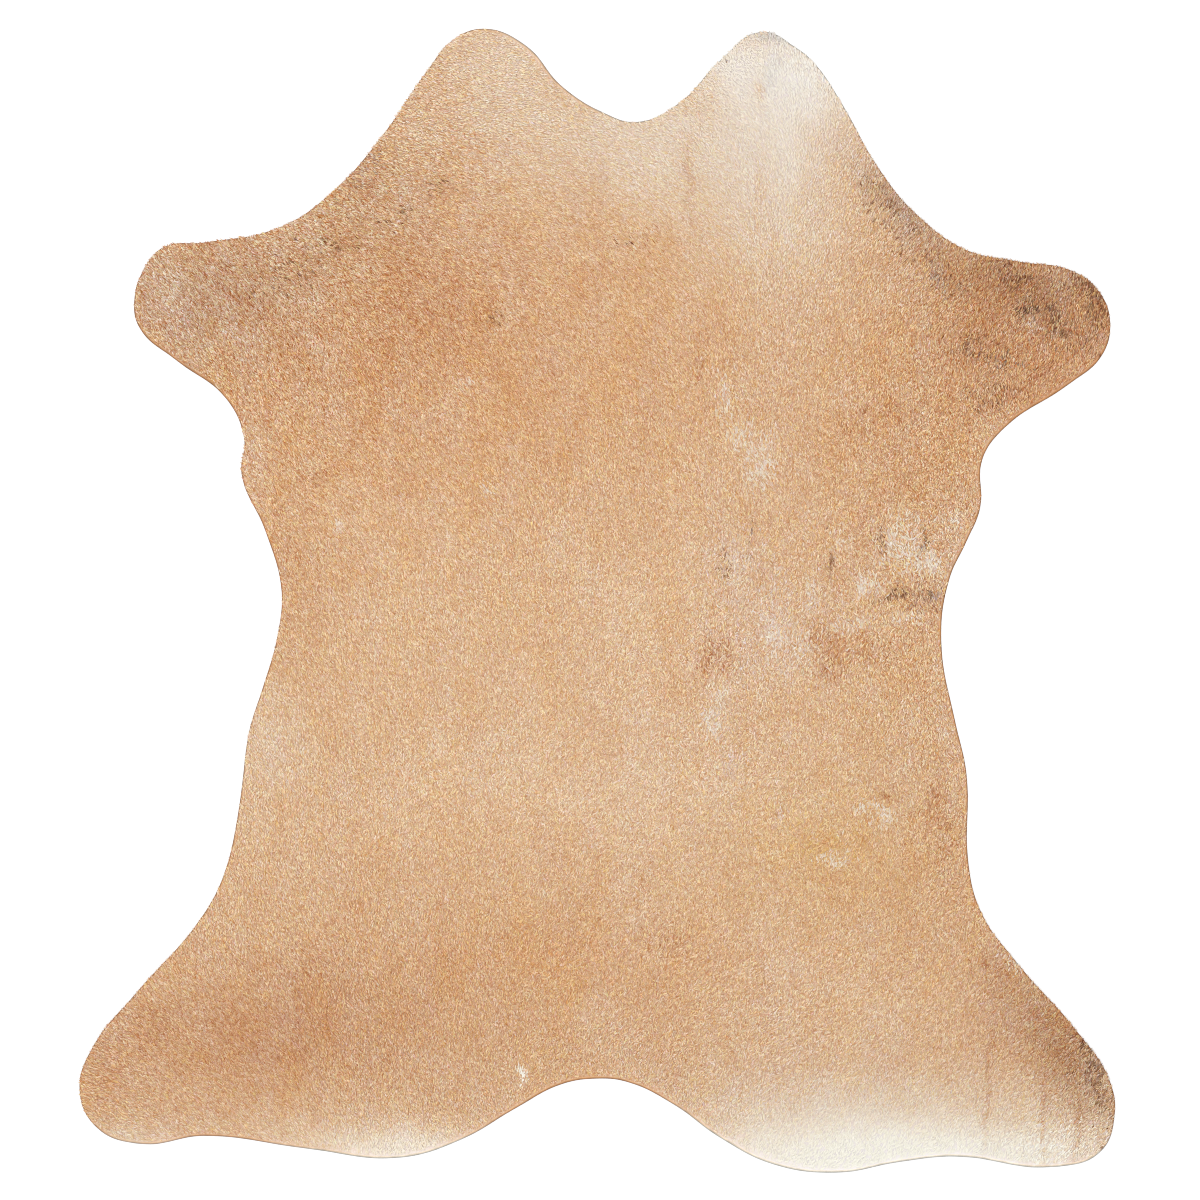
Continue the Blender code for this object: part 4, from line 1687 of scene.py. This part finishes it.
@dataclass(frozen=True)
class CoatLayer:
    """One layer of the coat: many locks of about one length, width and tone, all over the hide.

    Length, width, root height, depth and raggedness are in millimetres, and turns are in degrees. The
    density is in locks to a square metre. A lock takes the coat's shade at the shade place, a share of its
    length from its root, give or take the shade jitter. The corners tell where its four points lie in its
    own square of the bake map, for its upper and for its lower faces.
    """

    name: str
    seed: int
    length: float
    width: float
    root_height: float
    lift: float
    splay: float
    tone: float
    tone_spread: float
    finish: HairFinish
    density: float = 72000.0
    depth: float = 0.09
    pitch: float = 1.6
    roll: float = 4.0
    raggedness: float = 0.8
    shape: LockShape = LockShape()
    tones: LockTones = LockTones()
    shade_place: float = 0.65
    shade_jitter: float = 0.5
    upper_corners: Corners = ((0.5, 0.06), (0.04, 0.5), (0.96, 0.5), (0.5, 0.94))
    lower_corners: Corners = ((0.06, 0.04), (0.04, 0.04), (0.96, 0.04), (0.96, 0.96))

    def build(self, tree: CoatTree, bed: bpy.types.Object, lock: bpy.types.Object,
              sheet: LeatherSheet) -> bpy.types.Object:
        """Grows, trims, shades and maps the layer.

        Args:
            tree: the tree that grows locks.
            bed: the hair side of the leather.
            lock: the shape of one lock.
            sheet: the leather, with its outline and the coat's plan.

        Returns:
            The layer's object.
        """
        finish = self.finish.build()
        mesh = tree.apply(bed, {
            "Lock": lock,
            "Finish": finish,
            "Seed": self.seed,
            "Density": self.density,
            "Length": self.length * MM,
            "Width": self.width * MM,
            "Depth": self.depth * MM,
            "Lift": math.radians(self.lift),
            "Pitch": math.radians(self.pitch),
            "Splay": math.radians(self.splay),
            "Roll": math.radians(self.roll),
            "Root Height": self.root_height * MM,
        })
        mesh.name = self.name
        mesh.materials.clear()
        mesh.materials.append(finish)
        mesh.polygons.foreach_set("material_index", [0] * len(mesh.polygons))
        for name in (LEAN_ATTRIBUTE, STRAY_ATTRIBUTE):
            mesh.attributes.remove(mesh.attributes[name])
        self.trim(mesh, sheet)
        self.shade(mesh, sheet.plan)
        self.map_for_baking(mesh)
        return add_object(self.name, mesh)

    def trim(self, mesh: bpy.types.Mesh, sheet: LeatherSheet) -> None:
        """Cuts the locks back at the hide's outline.

        Args:
            mesh: the layer's mesh, four points to a lock.
            sheet: the leather, which knows the outline.
        """
        locks = read_points(mesh).reshape(-1, 4, 3)
        chance = np.random.default_rng(self.seed + 1)
        spare = chance.uniform(0.0, self.raggedness * MM, len(locks))
        loose = chance.uniform(0.0, 1.0, len(locks)) ** 2
        spare -= loose * np.max([fringe.length(locks[:, 3, :2]) for fringe in sheet.plan.fringes], axis=0)
        mesh.vertices.foreach_set("co", sheet.trim(locks, spare).ravel())
        mesh.update()

    def shade(self, mesh: bpy.types.Mesh, plan: CoatPlan) -> None:
        """Stores each lock's shade and the place of each of its points on the lock.

        Args:
            mesh: the layer's mesh, four points to a lock.
            plan: the coat's shades.
        """
        locks = read_points(mesh).reshape(-1, 4, 3)
        count = len(locks)
        chance = np.random.default_rng(self.seed)
        root, tip = locks[:, 0, :2], locks[:, 3, :2]
        middle = (1.0 - self.shade_place) * root + self.shade_place * tip
        ahead = (tip - root) * chance.uniform(-self.shade_jitter, self.shade_jitter, count)[:, None]
        colour, grain = plan.shade(middle + ahead)
        tone = (self.tone + self.tone_spread * chance.normal(0.0, 1.0, count)) * grain
        # Each lock's colour carries painted shade at its root and sides and painted light at its tip.
        shades = self.tones.run(self.tones.vary(colour, grain, tone, chance), grain)
        store_colours(mesh, SHADE_ATTRIBUTE, shades)
        store_numbers(mesh, GRAIN_ATTRIBUTE, np.repeat(grain, 4))
        place = np.empty((count, 4, 3))
        place[:, :, :2] = np.array(self.shape.points())[:, :2] + np.array([0.5, 0.0])
        place[:, :, 2] = chance.uniform(0.0, 1.0, count)[:, None]
        attribute = mesh.attributes.new(LOCK_ATTRIBUTE, "FLOAT_VECTOR", "POINT")
        attribute.data.foreach_set("vector", place.ravel())

    def map_for_baking(self, mesh: bpy.types.Mesh) -> None:
        """Gives each lock a small square of its own in one map.

        Args:
            mesh: the layer's mesh, four points and four faces of three corners to a lock.
        """
        corners = read_corners(mesh)
        lock, point = corners // 4, corners % 4
        side = math.ceil(math.sqrt(len(mesh.vertices) // 4))
        is_upper = np.arange(len(corners)) // 3 % 4 < 2
        in_square = np.where(is_upper[:, None], np.array(self.upper_corners)[point],
                             np.array(self.lower_corners)[point])
        square = np.column_stack([lock % side, lock // side])
        layer = mesh.uv_layers.new(name=BAKE_MAP)
        layer.data.foreach_set("uv", ((square + in_square) / side).ravel())


# The underwool and the inner coat have a lower tone than the layers above: painted shade under the upper
# coat.
LAYERS = (
    CoatLayer("underwool", seed=101, length=7.0, width=2.3, root_height=0.10, lift=4.0, splay=26.0,
              tone=-0.20, tone_spread=0.09,
              finish=HairFinish("underwool_hair", roughness=0.72, sheen=0.0, hairs=2.6)),
    CoatLayer("inner_coat", seed=211, length=6.3, width=1.9, root_height=0.35, lift=5.0, splay=24.0,
              tone=-0.10, tone_spread=0.10,
              finish=HairFinish("inner_hair", roughness=0.66, sheen=0.0, hairs=2.2)),
    CoatLayer("middle_coat", seed=307, length=5.6, width=1.5, root_height=0.60, lift=6.0, splay=22.0,
              tone=0.0, tone_spread=0.12,
              finish=HairFinish("middle_hair", sheen=0.03, hairs=1.8)),
    CoatLayer("outer_coat", seed=401, length=5.0, width=1.2, root_height=0.85, lift=7.0, splay=20.0,
              tone=0.0, tone_spread=0.16,
              finish=HairFinish("outer_hair", sheen=0.03, hairs=1.5)),
    CoatLayer("guard_hair", seed=503, length=4.4, width=0.95, root_height=1.10, lift=8.0, splay=22.0,
              tone=0.0, tone_spread=0.24,
              finish=HairFinish("guard_hair", roughness=0.55, sheen=0.04, hairs=1.2)),
)


@dataclass
class CalfHide:
    """The whole hide: its leather and the layers of its coat, with its flat size in metres."""

    plan: CoatPlan = field(default_factory=CoatPlan)
    layers: tuple[CoatLayer, ...] = LAYERS
    flat_width: float = 0.907
    flat_length: float = 1.000
    flat_area: float = 0.625

    def build(self, node: bpy.types.Object) -> list[bpy.types.Object]:
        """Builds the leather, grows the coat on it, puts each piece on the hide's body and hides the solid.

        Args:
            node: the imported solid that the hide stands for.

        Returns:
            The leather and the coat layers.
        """
        sheet = LeatherSheet(self.plan)
        leather = sheet.build(node)
        bed = sheet.bed(leather)
        lock = LockShape().build()
        tree = CoatTree()
        coat = [layer.build(tree, bed, lock, sheet) for layer in self.layers]
        for helper in (bed, lock):
            bpy.data.objects.remove(helper)
        for piece in (leather, *coat):
            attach(piece, HIDE_BODY)
            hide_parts(HIDE_NODE)
        return [leather, *coat]


@dataclass
class Studio:
    """The plain pale floor, the soft light and the camera straight above the hide."""

    frame_width: float = 1.04895
    aim_x: float = 2.6 * MM
    aim_y: float = 0.4 * MM
    camera_height: float = 3.0
    camera_reach: float = 100.0
    sensor: float = 36.0
    filter_width: float = 1.0
    floor_size: float = 14.0
    floor_drop: float = 0.2 * MM
    floor_shade: float = 0.80
    floor_roughness: float = 0.9
    floor_gloss: float = 0.1
    world_strength: float = 1.05
    key_power: float = 36.0
    key_size: float = 1.6
    key_place: tuple[float, float, float] = (-0.45, 0.25, 2.6)

    def floor(self) -> bpy.types.Object:
        """Builds the floor.

        Returns:
            A pale square plane just under the hide.
        """
        half = self.floor_size / 2
        corners = [(-half, -half), (half, -half), (half, half), (-half, half)]
        mesh = bpy.data.meshes.new("floor")
        mesh.from_pydata([(x, y, -self.floor_drop) for x, y in corners], [], [(0, 1, 2, 3)])
        material, tree = new_material("pale_floor")
        set_shader(tree, {
            "Base Color": (self.floor_shade, self.floor_shade, self.floor_shade, 1.0),
            "Roughness": self.floor_roughness,
            "Specular IOR Level": self.floor_gloss,
        })
        mesh.materials.append(material)
        return add_object("floor", mesh)

    def light(self) -> None:
        """Sets an even pale surround and one large soft light from the upper left."""
        world = bpy.data.worlds.new("pale_surround")
        world.use_nodes = True
        surround = world.node_tree.nodes["Background"]
        surround.inputs["Color"].default_value = (1.0, 1.0, 1.0, 1.0)
        surround.inputs["Strength"].default_value = self.world_strength
        bpy.context.scene.world = world
        data = bpy.data.lights.new("soft_key", "AREA")
        data.shape = "SQUARE"
        data.size = self.key_size
        data.energy = self.key_power
        key = add_object("soft_key", data)
        key.location = self.key_place
        key.rotation_euler = (-Vector(self.key_place)).to_track_quat("-Z", "Y").to_euler()

    def camera(self) -> None:
        """Sets the camera straight above the hide, with the photograph's frame."""
        data = bpy.data.cameras.new("camera_above")
        data.sensor_width = self.sensor
        data.lens = self.sensor * self.camera_height / self.frame_width
        data.clip_end = self.camera_reach
        camera = add_object("camera_above", data)
        camera.location = (self.aim_x, self.aim_y, self.camera_height)
        bpy.context.scene.camera = camera

    def build(self) -> None:
        """Builds the floor, the light and the camera, and keeps the view plain and sharp."""
        self.floor()
        self.light()
        self.camera()
        bpy.context.scene.view_settings.view_transform = "Standard"
        bpy.context.scene.cycles.denoising_prefilter = "NONE"
        bpy.context.scene.cycles.filter_width = self.filter_width


def main() -> None:
    """Builds the studio and the hide, and reports each piece."""
    logging.basicConfig(level=logging.INFO, format="%(name)s: %(message)s")
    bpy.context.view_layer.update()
    Studio().build()
    for piece in CalfHide().build(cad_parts[HIDE_NODE]):
        LOG.info("%s: %d faces", piece.name, len(piece.data.polygons))


if __name__ == "__main__":
    main()
